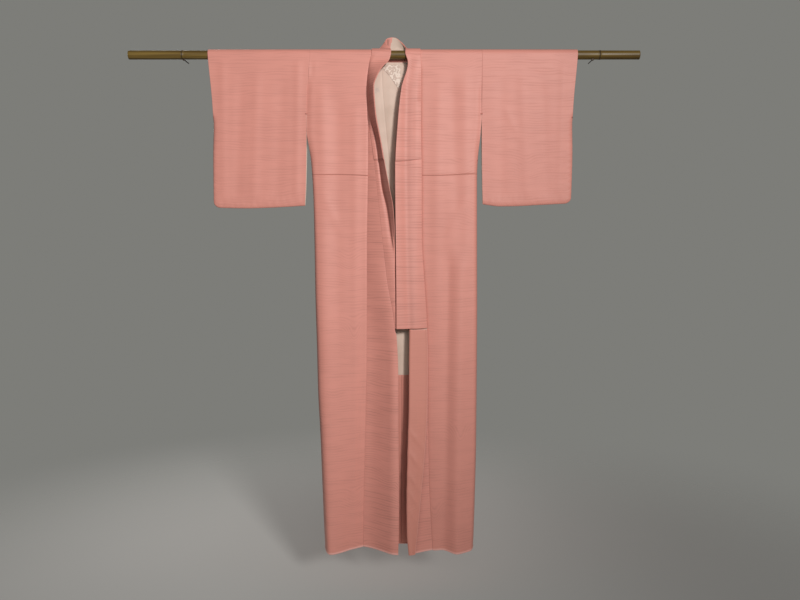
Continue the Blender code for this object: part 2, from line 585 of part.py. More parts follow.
def main():
    for obj in list(bpy.data.objects):
        bpy.data.objects.remove(obj, do_unlink=True)
    collection = bpy.data.collections.new("silk_kimono")
    bpy.context.scene.collection.children.link(collection)
    make_pole(collection)
    for side in ("right", "left"):
        make_nail(side, collection)
        make_sleeve(side, collection)
        make_body(side, collection)
        make_back_lining(side, collection)
        make_hem_lining(side, collection)
    make_overlap_right(collection)
    make_overlap_left(collection)
    make_turned_facing(collection)
    make_collar(collection)
    make_over_collar(collection)
    make_nape_patch(collection)
    frame = bpy.data.objects.new("kimono_on_pole", None)
    collection.objects.link(frame)
    for obj in collection.objects:
        if obj is not frame:
            obj.parent = frame


main()
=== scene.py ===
"""The looks of the silk kimono: fine cloth, moire silk, linings, stitching, bamboo and light.

Every piece is built from the same outlines as the CAD part, with the cloth's own creases added.
Heights are metres under the pole's axis; "right" and "left" are the wearer's sides.
"""

import math

import bpy
import numpy as np
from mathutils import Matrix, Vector


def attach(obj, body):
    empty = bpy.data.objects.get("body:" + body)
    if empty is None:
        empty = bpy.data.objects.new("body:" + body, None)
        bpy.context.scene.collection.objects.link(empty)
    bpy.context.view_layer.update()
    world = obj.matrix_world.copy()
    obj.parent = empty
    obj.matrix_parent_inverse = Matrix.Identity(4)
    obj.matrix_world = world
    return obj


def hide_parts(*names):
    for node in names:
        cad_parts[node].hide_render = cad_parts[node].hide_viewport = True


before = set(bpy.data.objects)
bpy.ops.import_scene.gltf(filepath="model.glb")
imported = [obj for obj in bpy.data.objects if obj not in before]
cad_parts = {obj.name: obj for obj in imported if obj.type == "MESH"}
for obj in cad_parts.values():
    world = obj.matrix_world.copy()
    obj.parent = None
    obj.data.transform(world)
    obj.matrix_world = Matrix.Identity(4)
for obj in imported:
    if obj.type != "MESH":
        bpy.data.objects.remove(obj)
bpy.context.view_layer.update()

# ---- outlines, as in the CAD part --------------------------------------------------
WALL = 0.0015  # outer silk with its lining
LINING_WALL = 0.0010  # a single lining cloth
SEAM_GAP = 0.0009  # between the middles of two edges sewn side by side: their faces come to about 0.3 mm
LAYER = 0.0020  # from the middle of one layer to the middle of the next

POLE_R = 0.0140
POLE_END_RIGHT = -0.844
POLE_END_LEFT = 0.789
POLE_NODES = (-0.672, -0.405, -0.135, 0.135, 0.400, 0.661)  # the bamboo's joints
NODE_SWELL = 0.0009
NAIL_X = {"right": -0.665, "left": 0.637}
NAIL_R = 0.0017
NAIL_HEAD_R = 0.0042
NAIL_FRONT = -0.0125
NAIL_BACK = 0.0450

CLOTH_R = 0.0165  # middle of the cloth where it goes over the pole
GARMENT = 1.610  # shoulder line down to the hem
SLEEVE = 0.482  # pole axis down to a sleeve's bottom fold
WRIST = 0.200  # the wrist opening ends here
ARMHOLE = 0.188  # the sleeve is sewn to the body down to here
SIDE_OPENING = 0.335  # the body's side seam starts here
TUCK = 0.382  # the tuck seam across the bodice
TUCK_STEP = 0.0009  # the cloth above the tuck stands this far out over the cloth below
KENSAKI = 0.210  # top point of the overlap panel
COLLAR_END = 0.875  # lower end of the collar
OVER_COLLAR_END = 0.335  # lower end of the over-collar
LINING_END = 1.0355  # the white lining ends and the hem lining starts
BACK_Y = 0.0125  # the back hangs this far behind the pole's axis
NECK_DROP = 0.0200  # back neck edge under the pole's axis
NECK = {"right": -0.0670, "left": 0.0885}  # collar seam on top of the pole

# Outlines: (height, x) pairs, top to bottom.
SIDE = {
    "right": ((0.0, -0.2640), (-0.185, -0.2757), (-0.238, -0.2760), (-0.286, -0.2700), (-0.335, -0.2630), (-0.46, -0.2564),
              (-0.59, -0.2542), (-0.785, -0.2522), (-0.93, -0.2488), (-1.08, -0.2462), (-1.22, -0.2400), (-1.385, -0.2345), (-1.52, -0.2300), (-1.61, -0.2262)),
    "left": ((0.0, 0.2852), (-0.19, 0.2846), (-0.248, 0.2815), (-0.316, 0.2749), (-0.372, 0.2720),
             (-0.59, 0.2733), (-0.884, 0.2755), (-1.25, 0.2751), (-1.454, 0.2717), (-1.557, 0.2691), (-1.61, 0.2671)),
}
SLEEVE_INNER = {
    "right": ((0.0, -0.2648), (-0.185, -0.2765), (-0.286, -0.2775), (-0.43, -0.2814), (-0.482, -0.2846)),
    "left": ((0.0, 0.2860), (-0.19, 0.2856), (-0.40, 0.2892), (-0.482, 0.2918)),
}
SLEEVE_OUTER = {
    "right": ((0.0, -0.5878), (-0.20, -0.5750), (-0.34, -0.5790), (-0.482, -0.5800)),
    "left": ((0.0, 0.5885), (-0.20, 0.5766), (-0.34, 0.5792), (-0.482, 0.5775)),
}
SLEEVE_BOTTOM = {  # (x, height)
    "right": ((-0.580, -0.4850), (-0.4785, -0.4872), (-0.3976, -0.4850), (-0.2846, -0.4788)),
    "left": ((0.2918, -0.4740), (0.3472, -0.4808), (0.3957, -0.4803), (0.4604, -0.4771), (0.5775, -0.4710)),
}
FRONT_SEAM = {  # front panel's inner edge: neck, then the overlap panel's seam
    "right": ((0.0, -0.0670), (-0.035, -0.0736), (-0.080, -0.0795), (-0.11, -0.0812), (-0.205, -0.0790), (-0.334, -0.0793),
              (-0.59, -0.0835), (-0.916, -0.0846), (-1.25, -0.0915), (-1.453, -0.0965), (-1.61, -0.0990)),
    "left": ((0.0, 0.0885), (-0.05, 0.0912), (-0.24, 0.0915), (-0.35, 0.0942), (-0.59, 0.0953), (-0.75, 0.1052), (-0.874, 0.1124),
             (-1.10, 0.1152), (-1.35, 0.1188), (-1.61, 0.1310)),
}
# Hem waves: (share of the front panel from side seam to inner seam, y at the hem).
HEM_WAVE = {
    "right": ((0.0, -0.0260), (0.15, -0.0410), (0.47, -0.0340), (0.73, -0.0200), (0.95, -0.0095), (1.0, -0.0090)),
    "left": ((0.0, -0.0230), (0.22, -0.0340), (0.42, -0.0390), (0.62, -0.0320), (0.85, -0.0240), (1.0, -0.0230)),
}
# The right overlap panel's outer edge: slanted along the collar, then free.
OVERLAP_EDGE = ((-0.21, -0.0768), (-0.3346, -0.0599), (-0.424, -0.0500), (-0.574, -0.0344), (-0.7186, -0.0185), (-0.8247, 0.0005),
                (-0.880, 0.0078), (-0.892, 0.0115), (-1.026, 0.0172), (-1.17, 0.0175), (-1.4385, 0.0195), (-1.54, 0.0188), (-1.61, 0.0168))
OVERLAP_EDGE_Y = ((-0.21, -0.0152), (-0.26, -0.0180), (-0.3346, -0.0225), (-0.574, -0.0320), (-0.7186, -0.0380), (-0.8247, -0.0435), (-0.892, -0.0450),
                  (-1.026, -0.0460), (-1.17, -0.0480), (-1.4385, -0.0510), (-1.61, -0.0530))

# The right collar: sections (height, then (x, y) from its seam to its free edge).
COLLAR_RIGHT = (
    (0.0, (-0.0666, -0.0165), (-0.0545, -0.0165), (-0.0424, -0.0165), (-0.0303, -0.0165), (-0.0182, -0.0165), (-0.0060, -0.0165)),
    (-0.020, (-0.0703, -0.0165), (-0.0650, -0.0185), (-0.0560, -0.0190), (-0.0430, -0.0190), (-0.0280, -0.0190), (-0.0120, -0.0190)),
    (-0.042, (-0.0744, -0.0158), (-0.0712, -0.0200), (-0.0640, -0.0245), (-0.0540, -0.0285), (-0.0425, -0.0320), (-0.0305, -0.0350)),
    (-0.078, (-0.0789, -0.0155), (-0.0764, -0.0228), (-0.0722, -0.0325), (-0.0660, -0.0420), (-0.0580, -0.0500), (-0.0490, -0.0570)),
    (-0.110, (-0.0803, -0.0150), (-0.0778, -0.0232), (-0.0742, -0.0350), (-0.0700, -0.0460), (-0.0645, -0.0560), (-0.0582, -0.0650)),
    (-0.188, (-0.0781, -0.0150), (-0.0747, -0.0198), (-0.0708, -0.0290), (-0.0655, -0.0390), (-0.0598, -0.0510), (-0.0531, -0.0625)),
    (-0.275, (-0.0680, -0.0205), (-0.0585, -0.0245), (-0.0511, -0.0255), (-0.0470, -0.0370), (-0.0425, -0.0480), (-0.0374, -0.0590)),
    (-0.354, (-0.0575, -0.0235), (-0.0492, -0.0280), (-0.0418, -0.0290), (-0.0365, -0.0400), (-0.0305, -0.0510), (-0.0239, -0.0615)),
    (-0.424, (-0.0496, -0.0262), (-0.0410, -0.0315), (-0.0326, -0.0330), (-0.0262, -0.0440), (-0.0188, -0.0545), (-0.0107, -0.0640)),
    (-0.488, (-0.0430, -0.0287), (-0.0305, -0.0345), (-0.0182, -0.0365), (-0.0120, -0.0445), (-0.0055, -0.0525), (0.0012, -0.0600)),
    (-0.565, (-0.0348, -0.0317), (-0.0200, -0.0380), (-0.0075, -0.0400), (-0.0025, -0.0440), (0.0020, -0.0475), (0.0055, -0.0505)),
    (-0.654, (-0.0253, -0.0352), (-0.0100, -0.0410), (0.0030, -0.0425), (0.0078, -0.0410), (0.0082, -0.0350), (0.0050, -0.0290)),
    (-0.740, (-0.0146, -0.0392), (-0.0020, -0.0430), (0.0080, -0.0435), (0.0096, -0.0340), (0.0062, -0.0235), (-0.0060, -0.0150)),
    (-0.822, (0.0004, -0.0434), (0.0062, -0.0448), (0.0108, -0.0430), (0.0110, -0.0310), (0.0045, -0.0180), (-0.0250, -0.0090)),
    (-0.875, (0.0074, -0.0447), (0.0105, -0.0450), (0.0126, -0.0420), (0.0118, -0.0300), (0.0040, -0.0175), (-0.0430, -0.0095)),
)
COLLAR_LEFT = (
    (0.0, (0.0881, -0.0165), (0.0790, -0.0165), (0.0695, -0.0165), (0.0600, -0.0165), (0.0505, -0.0165), (0.0410, -0.0165)),
    (-0.027, (0.0896, -0.0165), (0.0800, -0.0172), (0.0710, -0.0168), (0.0620, -0.0170), (0.0550, -0.0185), (0.0488, -0.0200)),
    (-0.112, (0.0906, -0.0165), (0.0785, -0.0205), (0.0655, -0.0195), (0.0525, -0.0195), (0.0400, -0.0245), (0.0275, -0.0270)),
    (-0.210, (0.0904, -0.0200), (0.0770, -0.0245), (0.0625, -0.0230), (0.0480, -0.0220), (0.0330, -0.0295), (0.0170, -0.0325)),
    (-0.361, (0.0926, -0.0225), (0.0770, -0.0290), (0.0610, -0.0272), (0.0455, -0.0270), (0.0275, -0.0350), (0.0086, -0.0390)),
    (-0.590, (0.0940, -0.0255), (0.0780, -0.0325), (0.0620, -0.0325), (0.0460, -0.0350), (0.0285, -0.0430), (0.0106, -0.0480)),
    (-0.750, (0.1040, -0.0285), (0.0855, -0.0365), (0.0665, -0.0390), (0.0480, -0.0425), (0.0300, -0.0490), (0.0122, -0.0535)),
    (-0.875, (0.1113, -0.0305), (0.0915, -0.0400), (0.0715, -0.0440), (0.0515, -0.0470), (0.0320, -0.0520), (0.0128, -0.0550)),
)
# The collar round the back of the neck: (seam edge, free edge), from right to left.
NAPE = (
    ((-0.0666, -0.0117, 0.0117), (-0.0060, -0.0117, 0.0117)),
    ((-0.0664, 0.0000, 0.0165), (-0.0085, -0.0030, 0.0185)),
    ((-0.0655, 0.0117, 0.0117), (-0.0175, 0.0035, 0.0310)),
    ((-0.0610, 0.0164, -0.0010), (-0.0215, 0.0085, 0.0440)),
    ((-0.0470, 0.0172, -0.0150), (-0.0165, 0.0120, 0.0535)),
    ((-0.0180, 0.0178, -0.0178), (-0.0050, 0.0140, 0.0575)),
    ((0.0120, 0.0180, -0.0178), (0.0095, 0.0140, 0.0560)),
    ((0.0420, 0.0178, -0.0178), (0.0215, 0.0125, 0.0470)),
    ((0.0690, 0.0172, -0.0150), (0.0330, 0.0095, 0.0345)),
    ((0.0830, 0.0164, -0.0010), (0.0395, 0.0050, 0.0250)),
    ((0.0868, 0.0117, 0.0117), (0.0415, -0.0020, 0.0195)),
    ((0.0878, 0.0000, 0.0165), (0.0412, -0.0090, 0.0150)),
    ((0.0880, -0.0117, 0.0117), (0.0410, -0.0138, 0.0095)),
)
# The left overlap panel's pleat: height, fold (x, y), free edge (x, y).
PLEAT = (
    (-0.212, (0.0885, -0.0160), (0.0900, -0.0171)),
    (-0.335, (0.0825, -0.0170), (0.0910, -0.0184)),
    (-0.470, (0.0750, -0.0190), (0.0922, -0.0196)),
    (-0.600, (0.0690, -0.0215), (0.0933, -0.0212)),
    (-0.750, (0.0620, -0.0255), (0.1030, -0.0228)),
    (-0.880, (0.0553, -0.0300), (0.1108, -0.0245)),
    (-0.960, (0.0545, -0.0320), (0.1132, -0.0255)),
    (-1.110, (0.0537, -0.0360), (0.1119, -0.0300)),
    (-1.260, (0.0500, -0.0410), (0.1045, -0.0345)),
    (-1.440, (0.0467, -0.0475), (0.0890, -0.0420)),
    (-1.540, (0.0478, -0.0510), (0.0790, -0.0460)),
    (-1.610, (0.0536, -0.0530), (0.0715, -0.0490)),
)

LINING_SEAM = ((-0.026, -0.0360), (-0.10, -0.0330), (-0.18, -0.0265), (-0.35, -0.0120), (-0.60, 0.0), (-1.61, 0.0))
HEM_SEAM_X = 0.0280
STEP = 0.0055  # the cloth's grid
HALF = 0.0007  # half the cloth's thickness

# Soft creases: (side or "both", (height, x) line, width, height of the ridge, top, bottom). A trough is negative.
FRONT_CREASES = (
    ((( -0.02, -0.225), (-0.60, -0.222), (-1.61, -0.198)), 0.020, 0.0022, -0.05, -1.70),
    (((-0.02, -0.175), (-0.60, -0.178), (-1.61, -0.150)), 0.022, -0.0018, -0.10, -1.70),
    (((-0.02, -0.118), (-0.60, -0.120), (-1.61, -0.122)), 0.016, 0.0016, -0.12, -1.70),
    (((-0.90, -0.104), (-1.61, -0.108)), 0.005, 0.0012, -1.05, -1.70),
    (((-0.55, 0.182), (-1.61, 0.172)), 0.017, -0.0042, -0.60, -1.70),
    (((-0.55, 0.222), (-1.61, 0.214)), 0.018, 0.0026, -0.60, -1.70),
    (((-0.02, 0.150), (-0.60, 0.140), (-1.61, 0.138)), 0.020, 0.0018, -0.05, -1.70),
    (((-0.02, 0.190), (-0.50, 0.205)), 0.018, -0.0014, -0.03, -0.55),
    (((-0.02, 0.232), (-0.50, 0.240)), 0.018, 0.0016, -0.03, -0.75),
    (((-0.02, -0.268), (-0.20, -0.263)), 0.0045, 0.0011, 0.02, -0.12),
    (((-0.02, -0.256), (-0.20, -0.254)), 0.0035, -0.0010, 0.02, -0.10),
    (((-0.02, -0.246), (-0.20, -0.247)), 0.0040, 0.0009, 0.02, -0.09),
    (((-0.39, -0.240), (-0.62, -0.150)), 0.016, 0.0012, -0.40, -0.60),
    (((-0.40, 0.255), (-0.66, 0.150)), 0.018, 0.0012, -0.41, -0.64),
)
BACK_CREASES = (
    (((-0.02, -0.205), (-0.80, -0.215), (-1.61, -0.190)), 0.024, 0.0030, -0.10, -1.70),
    (((-0.02, -0.130), (-0.80, -0.140), (-1.61, -0.120)), 0.022, -0.0026, -0.15, -1.70),
    (((-0.05, -0.060), (-1.61, -0.055)), 0.018, 0.0022, -0.25, -1.70),
    (((-0.05, 0.070), (-1.61, 0.062)), 0.020, 0.0024, -0.25, -1.70),
    (((-0.02, 0.140), (-0.80, 0.150), (-1.61, 0.138)), 0.022, -0.0026, -0.15, -1.70),
    (((-0.02, 0.215), (-0.80, 0.228), (-1.61, 0.214)), 0.024, 0.0030, -0.10, -1.70),
)
SLEEVE_CREASES = (
    (((-0.00, -0.540), (-0.48, -0.548)), 0.014, 0.0014, 0.05, -0.52),
    (((-0.00, -0.480), (-0.48, -0.505)), 0.018, -0.0016, -0.04, -0.52),
    (((-0.00, -0.430), (-0.48, -0.450)), 0.016, 0.0015, -0.02, -0.52),
    (((-0.00, -0.350), (-0.48, -0.375)), 0.020, -0.0012, -0.03, -0.52),
    (((-0.00, -0.300), (-0.48, -0.312)), 0.012, 0.0014, 0.05, -0.52),
    (((-0.13, -0.405), (-0.23, -0.330)), 0.010, 0.0009, -0.13, -0.24),
    (((-0.00, 0.545), (-0.48, 0.540)), 0.014, 0.0014, 0.05, -0.52),
    (((-0.00, 0.470), (-0.48, 0.500)), 0.018, -0.0014, -0.04, -0.52),
    (((-0.00, 0.410), (-0.48, 0.435)), 0.018, 0.0014, -0.02, -0.52),
    (((-0.00, 0.345), (-0.48, 0.352)), 0.018, -0.0012, -0.03, -0.52),
    (((-0.10, 0.330), (-0.30, 0.420)), 0.012, 0.0008, -0.12, -0.30),
)
LINING_CREASES = (
    (((-0.03, -0.012), (-0.30, -0.002), (-0.90, 0.020)), 0.010, 0.0016, -0.02, -0.90),
    (((-0.10, 0.012), (-0.50, 0.020)), 0.008, -0.0014, -0.12, -0.60),
    (((-0.06, -0.055), (-0.50, -0.030)), 0.009, 0.0012, -0.08, -0.60),
)


# ---- curves ------------------------------------------------------------------------
def mix(a, b, t):
    return a + (b - a) * t


def ease(t):
    t = np.clip(t, 0.0, 1.0)
    return t * t * (3.0 - 2.0 * t)


def along(table, t):
    """A smooth curve through (t, value) pairs that never overshoots, for an array of places."""
    if table[0][0] > table[-1][0]:
        table = table[::-1]
    ts = np.array([row[0] for row in table], float)
    vs = np.array([row[1] for row in table], float)
    t = np.clip(np.asarray(t, float), ts[0], ts[-1])
    slopes = np.diff(vs) / np.diff(ts)
    tangents = np.empty(len(ts))
    tangents[0], tangents[-1] = slopes[0], slopes[-1]
    for i in range(1, len(ts) - 1):
        one, two = slopes[i - 1], slopes[i]
        tangents[i] = 0.0 if one * two <= 0 else 2.0 * one * two / (one + two)
    k = np.clip(np.searchsorted(ts, t, side="right") - 1, 0, len(ts) - 2)
    h = ts[k + 1] - ts[k]
    u = (t - ts[k]) / h
    return ((2 * u**3 - 3 * u**2 + 1) * vs[k] + (u**3 - 2 * u**2 + u) * h * tangents[k]
            + (3 * u**2 - 2 * u**3) * vs[k + 1] + (u**3 - u**2) * h * tangents[k + 1])


def creases(table, x, z):
    """How far the creases stand out from the cloth at (x, z)."""
    total = np.zeros(np.broadcast(x, z).shape)
    for line, width, size, top, bottom in table:
        centre = along(line, z)
        fade = ease((top - z) / 0.10) * ease((z - bottom) / 0.10)
        total = total + size * np.exp(-(((x - centre) / width) ** 2)) * fade
    return total


def ripple(x, z, seed):
    """A slow unevenness of hanging silk, the same each time."""
    rng = np.random.RandomState(seed)
    total = np.zeros(np.broadcast(x, z).shape)
    for _ in range(7):
        kx, kz = rng.uniform(20, 75), rng.uniform(-14, 14)
        total = total + rng.uniform(0.5, 1.0) * np.sin(kx * x + kz * z + rng.uniform(0, 6.28))
    return total / 7


def back_y(z):
    return mix(CLOTH_R, BACK_Y, ease(-z / 0.7))


def opened(z):
    return np.clip((-z - 0.10) / (GARMENT - 0.10), 0.0, 1.0) ** 1.25


def over_tuck(z):
    return np.where(z > -TUCK, TUCK_STEP * ease(1.0 - (-z) / TUCK * 0.55), 0.0)


def rounded(d, radius):
    """0 at an edge, growing like a quarter circle to 1 at that distance from it."""
    return np.sqrt(np.clip(1.0 - (1.0 - np.clip(d / radius, 0.0, 1.0)) ** 2, 0.0, 1.0))


def tuck_line(x):
    """The tuck seam hangs a little lower towards the middle."""
    return -TUCK + 0.0055 * np.abs(x) / 0.27 - 0.0025 + 0.0010 * np.sin(x * 31.0)


def side_close(side, x, z):
    """Where the body's front and back come together at the side seam: 1 is fully apart."""
    edge = along(SIDE[side], z)
    d = np.abs(x - edge)
    sewn = ease((-z - SIDE_OPENING + 0.10) / 0.16)
    return mix(1.0, rounded(d + 0.0004, 0.011), sewn), d


def body_front(side, v, z, extra=True):
    x = mix(along(SIDE[side], z), along(FRONT_SEAM[side], z), v)
    flat = -0.0135 - 0.0025 * np.exp(-((z / 0.25) ** 2))
    waved = mix(-CLOTH_R, along(HEM_WAVE[side], v), opened(z))
    y = mix(flat, waved, ease(-z / 0.9))
    if extra:
        tuck = tuck_line(x)
        y = y - 0.0017 * ease((z - tuck) / 0.0016) * ease(1.0 - (z - tuck) / 0.09) * ease((-z - 0.15) / 0.2)
        y = y + 0.0007 * np.exp(-(((z - tuck + 0.0008) / 0.0012) ** 2))
        lean = creases(FRONT_CREASES, x, z) + 0.0009 * ripple(x, z, 3 if side == "right" else 4)
        y = y - lean * ease((-z + 0.002) / 0.05)
        apart, d = side_close(side, x, z)
        y = mix(0.0015, y, apart)
        y = y + 0.0035 * (1.0 - ease(d / 0.016)) * ease((-z - 0.05) / 0.08) * (1.0 - ease((-z - 0.30) / 0.08))
        # the seam allowance pulls the cloth in along the front seam
        inner = np.abs(x - along(FRONT_SEAM[side], z))
        y = y + 0.0009 * np.exp(-((inner / 0.0030) ** 2)) * ease((-z - 0.02) / 0.04)
    else:
        y = np.where(z < -0.15, y - over_tuck(z) * ease((-z - 0.15) / 0.2), y)
    return x, y, z - 0.42 * (-y - 0.008) * opened(z)


def back_surface(x, z, side=None):
    y = back_y(z) + creases(BACK_CREASES, x, z) * 0.8 * ease((-z) / 0.05) + 0.0008 * ripple(x, z, 9) * ease((-z) / 0.08)
    y = y + 0.0050 * opened(z) * 0.5 * (1.0 + np.sin(x * 24.0 + 1.0)) * 0.5
    if side:
        apart, _ = side_close(side, x, z)
        y = mix(0.0015, y, apart)
    return y


def catmull(points, t):
    """points: (..., n, 3); t: places from 0 to n - 1. A smooth curve through the points along the second-last axis."""
    n = points.shape[-2]
    k = np.clip(np.floor(t).astype(int), 0, n - 2)
    u = (t - k)[:, None]
    p1, p2 = points[..., k, :], points[..., k + 1, :]
    p0 = np.where((k > 0)[:, None], points[..., np.maximum(k - 1, 0), :], 2 * p1 - p2)
    p3 = np.where((k < n - 2)[:, None], points[..., np.minimum(k + 2, n - 1), :], 2 * p2 - p1)
    return 0.5 * (2 * p1 + (p2 - p0) * u + (2 * p0 - 5 * p1 + 4 * p2 - p3) * u**2 + (3 * p1 - p0 - 3 * p2 + p3) * u**3)


def spread(length, step=STEP, fine=(0.0, 0.0012, 0.0026, 0.0045, 0.0072)):
    """Shares from 0 to 1 across a length, closer together at both edges."""
    inner = np.linspace(fine[-1], length - fine[-1], max(2, int(round((length - 2 * fine[-1]) / step)) + 1))
    places = np.concatenate([fine[:-1], inner, length - np.array(fine[:-1])[::-1]])
    return places / length


def run_of(q):
    """The length of cloth from the shoulder to a place q."""
    return np.where(q <= 0, q, np.where(q < 1, math.pi * CLOTH_R * q, math.pi * CLOTH_R + q - 1.0))


def heights_down(bottom, extra=(), step=STEP):
    """Heights from a bottom edge up to just under 0, with some more rows where the shape changes quickly."""
    rows = list(np.linspace(bottom, 0.0, int(round(-bottom / step)) + 1))
    rows += list(extra)
    rows = sorted(set(round(r, 6) for r in rows))
    kept = [rows[0]]
    for r in rows[1:]:
        if r - kept[-1] > 0.0005:
            kept.append(r)
    kept[-1] = 0.0
    return np.array(kept)


HEM_EXTRA = [-GARMENT + d for d in (0.0008, 0.0018, 0.0030, 0.0044)]
TUCK_EXTRA = [-TUCK + d * 0.001 for d in (-5, -3.6, -2.8, -2, -1.2, -0.4, 0.4, 1.2, 2.0, 2.8, 3.6, 5)]


# ---- materials ---------------------------------------------------------------------
class Nodes:
    def __init__(self, name):
        self.material = bpy.data.materials.new(name)
        self.material.use_nodes = True
        self.tree = self.material.node_tree
        self.shader = self.tree.nodes["Principled BSDF"]

    def node(self, kind, **settings):
        found = self.tree.nodes.new(kind)
        for key, value in settings.items():
            setattr(found, key, value)
        return found

    def put(self, socket, value):
        if isinstance(value, bpy.types.NodeSocket):
            self.tree.links.new(value, socket)
        elif value is not None:
            socket.default_value = value

    def math(self, operation, a, b=None, c=None):
        found = self.node("ShaderNodeMath", operation=operation)
        for socket, value in zip(found.inputs, (a, b, c)):
            self.put(socket, value)
        return found.outputs[0]

    def combine(self, x, y, z=0.0):
        found = self.node("ShaderNodeCombineXYZ")
        for socket, value in zip(found.inputs, (x, y, z)):
            self.put(socket, value)
        return found.outputs[0]

    def noise(self, vector, scale=1.0, detail=2.0, roughness=0.5):
        found = self.node("ShaderNodeTexNoise")
        self.put(found.inputs["Vector"], vector)
        found.inputs["Scale"].default_value = scale
        found.inputs["Detail"].default_value = detail
        found.inputs["Roughness"].default_value = roughness
        return found.outputs[0]

    def smooth(self, value, low, high):
        found = self.node("ShaderNodeMapRange", interpolation_type="SMOOTHSTEP")
        self.put(found.inputs["Value"], value)
        found.inputs["From Min"].default_value = low
        found.inputs["From Max"].default_value = high
        return found.outputs["Result"]

    def blend(self, factor, one, two):
        found = self.node("ShaderNodeMix", data_type="RGBA")
        self.put(found.inputs[0], factor)
        self.put(found.inputs[6], one)
        self.put(found.inputs[7], two)
        return found.outputs[2]

    def uv(self):
        found = self.node("ShaderNodeUVMap", uv_map="cloth")
        parts = self.node("ShaderNodeSeparateXYZ")
        self.tree.links.new(found.outputs[0], parts.inputs[0])
        return parts.outputs[0], parts.outputs[1]

    def place(self):
        found = self.node("ShaderNodeTexCoord")
        parts = self.node("ShaderNodeSeparateXYZ")
        self.tree.links.new(found.outputs["Object"], parts.inputs[0])
        return found.outputs["Object"], parts.outputs

    def bump(self, height, strength, distance):
        found = self.node("ShaderNodeBump")
        found.inputs["Strength"].default_value = strength
        found.inputs["Distance"].default_value = distance
        self.put(found.inputs["Height"], height)
        self.tree.links.new(found.outputs[0], self.shader.inputs["Normal"])


def set_shader(n, **values):
    for key, value in values.items():
        n.shader.inputs[key.replace("_", " ")].default_value = value


def silk_material(name, colour, moire=1.0, rough=0.50, sheen=0.12):
    n = Nodes(name)
    u, v = n.uv()

    def at(su, sv, z=0.0):
        return n.combine(n.math("MULTIPLY", u, su), n.math("MULTIPLY", v, sv), z)

    slow = n.noise(at(4.5, 7.0), detail=2.0)
    quick = n.noise(at(22.0, 60.0, 3.0), detail=1.0)
    cells = n.node("ShaderNodeTexVoronoi", feature="F1")
    n.put(cells.inputs["Vector"], at(6.0, 3.2, 7.0))
    cells.inputs["Scale"].default_value = 1.0
    d = cells.outputs["Distance"]
    knot = n.math("EXPONENT", n.math("MULTIPLY", n.math("MULTIPLY", d, d), -34.0))
    phase = n.math("MULTIPLY", v, 1.0 / 0.0086)
    phase = n.math("MULTIPLY_ADD", slow, 4.2, phase)
    phase = n.math("MULTIPLY_ADD", knot, 6.5, phase)
    phase = n.math("MULTIPLY_ADD", quick, 0.55, phase)
    wave = n.math("MULTIPLY_ADD", n.math("SINE", n.math("MULTIPLY", phase, 2 * math.pi)), 0.5, 0.5)
    lines = n.math("POWER", wave, 2.2)
    mask = n.smooth(n.noise(at(9.0, 60.0, 11.0), detail=1.5), 0.36, 0.64)
    mask = n.math("MAXIMUM", mask, n.math("MULTIPLY", knot, 0.9))
    streak = n.math("MULTIPLY", lines, mask)
    phase2 = n.math("MULTIPLY_ADD", slow, 7.0, n.math("MULTIPLY", v, 1.0 / 0.0049))
    wave2 = n.math("MULTIPLY_ADD", n.math("SINE", n.math("MULTIPLY", phase2, 2 * math.pi)), 0.5, 0.5)
    mask2 = n.smooth(n.noise(at(12.0, 40.0, 23.0), detail=1.0), 0.38, 0.66)
    streak2 = n.math("MULTIPLY", wave2, mask2)
    broad = n.noise(at(7.0, 5.0, 31.0), detail=2.0)
    weave = n.noise(at(900.0, 420.0, 2.0), detail=0.0)
    tone = n.math("MULTIPLY_ADD", streak, -0.125 * moire, 1.0)
    tone = n.math("MULTIPLY_ADD", streak2, -0.085 * moire, tone)
    tone = n.math("MULTIPLY_ADD", n.math("SUBTRACT", broad, 0.5), 0.11, tone)
    tone = n.math("MULTIPLY_ADD", n.math("SUBTRACT", weave, 0.5), 0.05, tone)
    # the seam attribute darkens the colour: painted shade along seams, on the collar's turned-away band and fold, in
    # the nape hollow and beside the turned facing
    seam = n.node("ShaderNodeAttribute", attribute_name="seam")
    tone = n.math("MULTIPLY", tone, n.math("MULTIPLY_ADD", seam.outputs["Fac"], -0.27, 1.0))
    dark = n.node("ShaderNodeVectorMath", operation="SCALE")
    dark.inputs[0].default_value = colour
    n.put(dark.inputs["Scale"], tone)
    n.put(n.shader.inputs["Base Color"], dark.outputs[0])
    n.put(n.shader.inputs["Roughness"], n.math("MULTIPLY_ADD", streak, 0.10 * moire, rough))
    set_shader(n, Sheen_Weight=sheen, Sheen_Roughness=0.45, Specular_IOR_Level=0.35)
    n.shader.inputs["Sheen Tint"].default_value = (1.0, 0.86, 0.80, 1.0)
    n.bump(n.math("MULTIPLY_ADD", streak, 0.5, n.math("MULTIPLY", weave, 0.35)), 0.25, 0.0003)
    return n.material


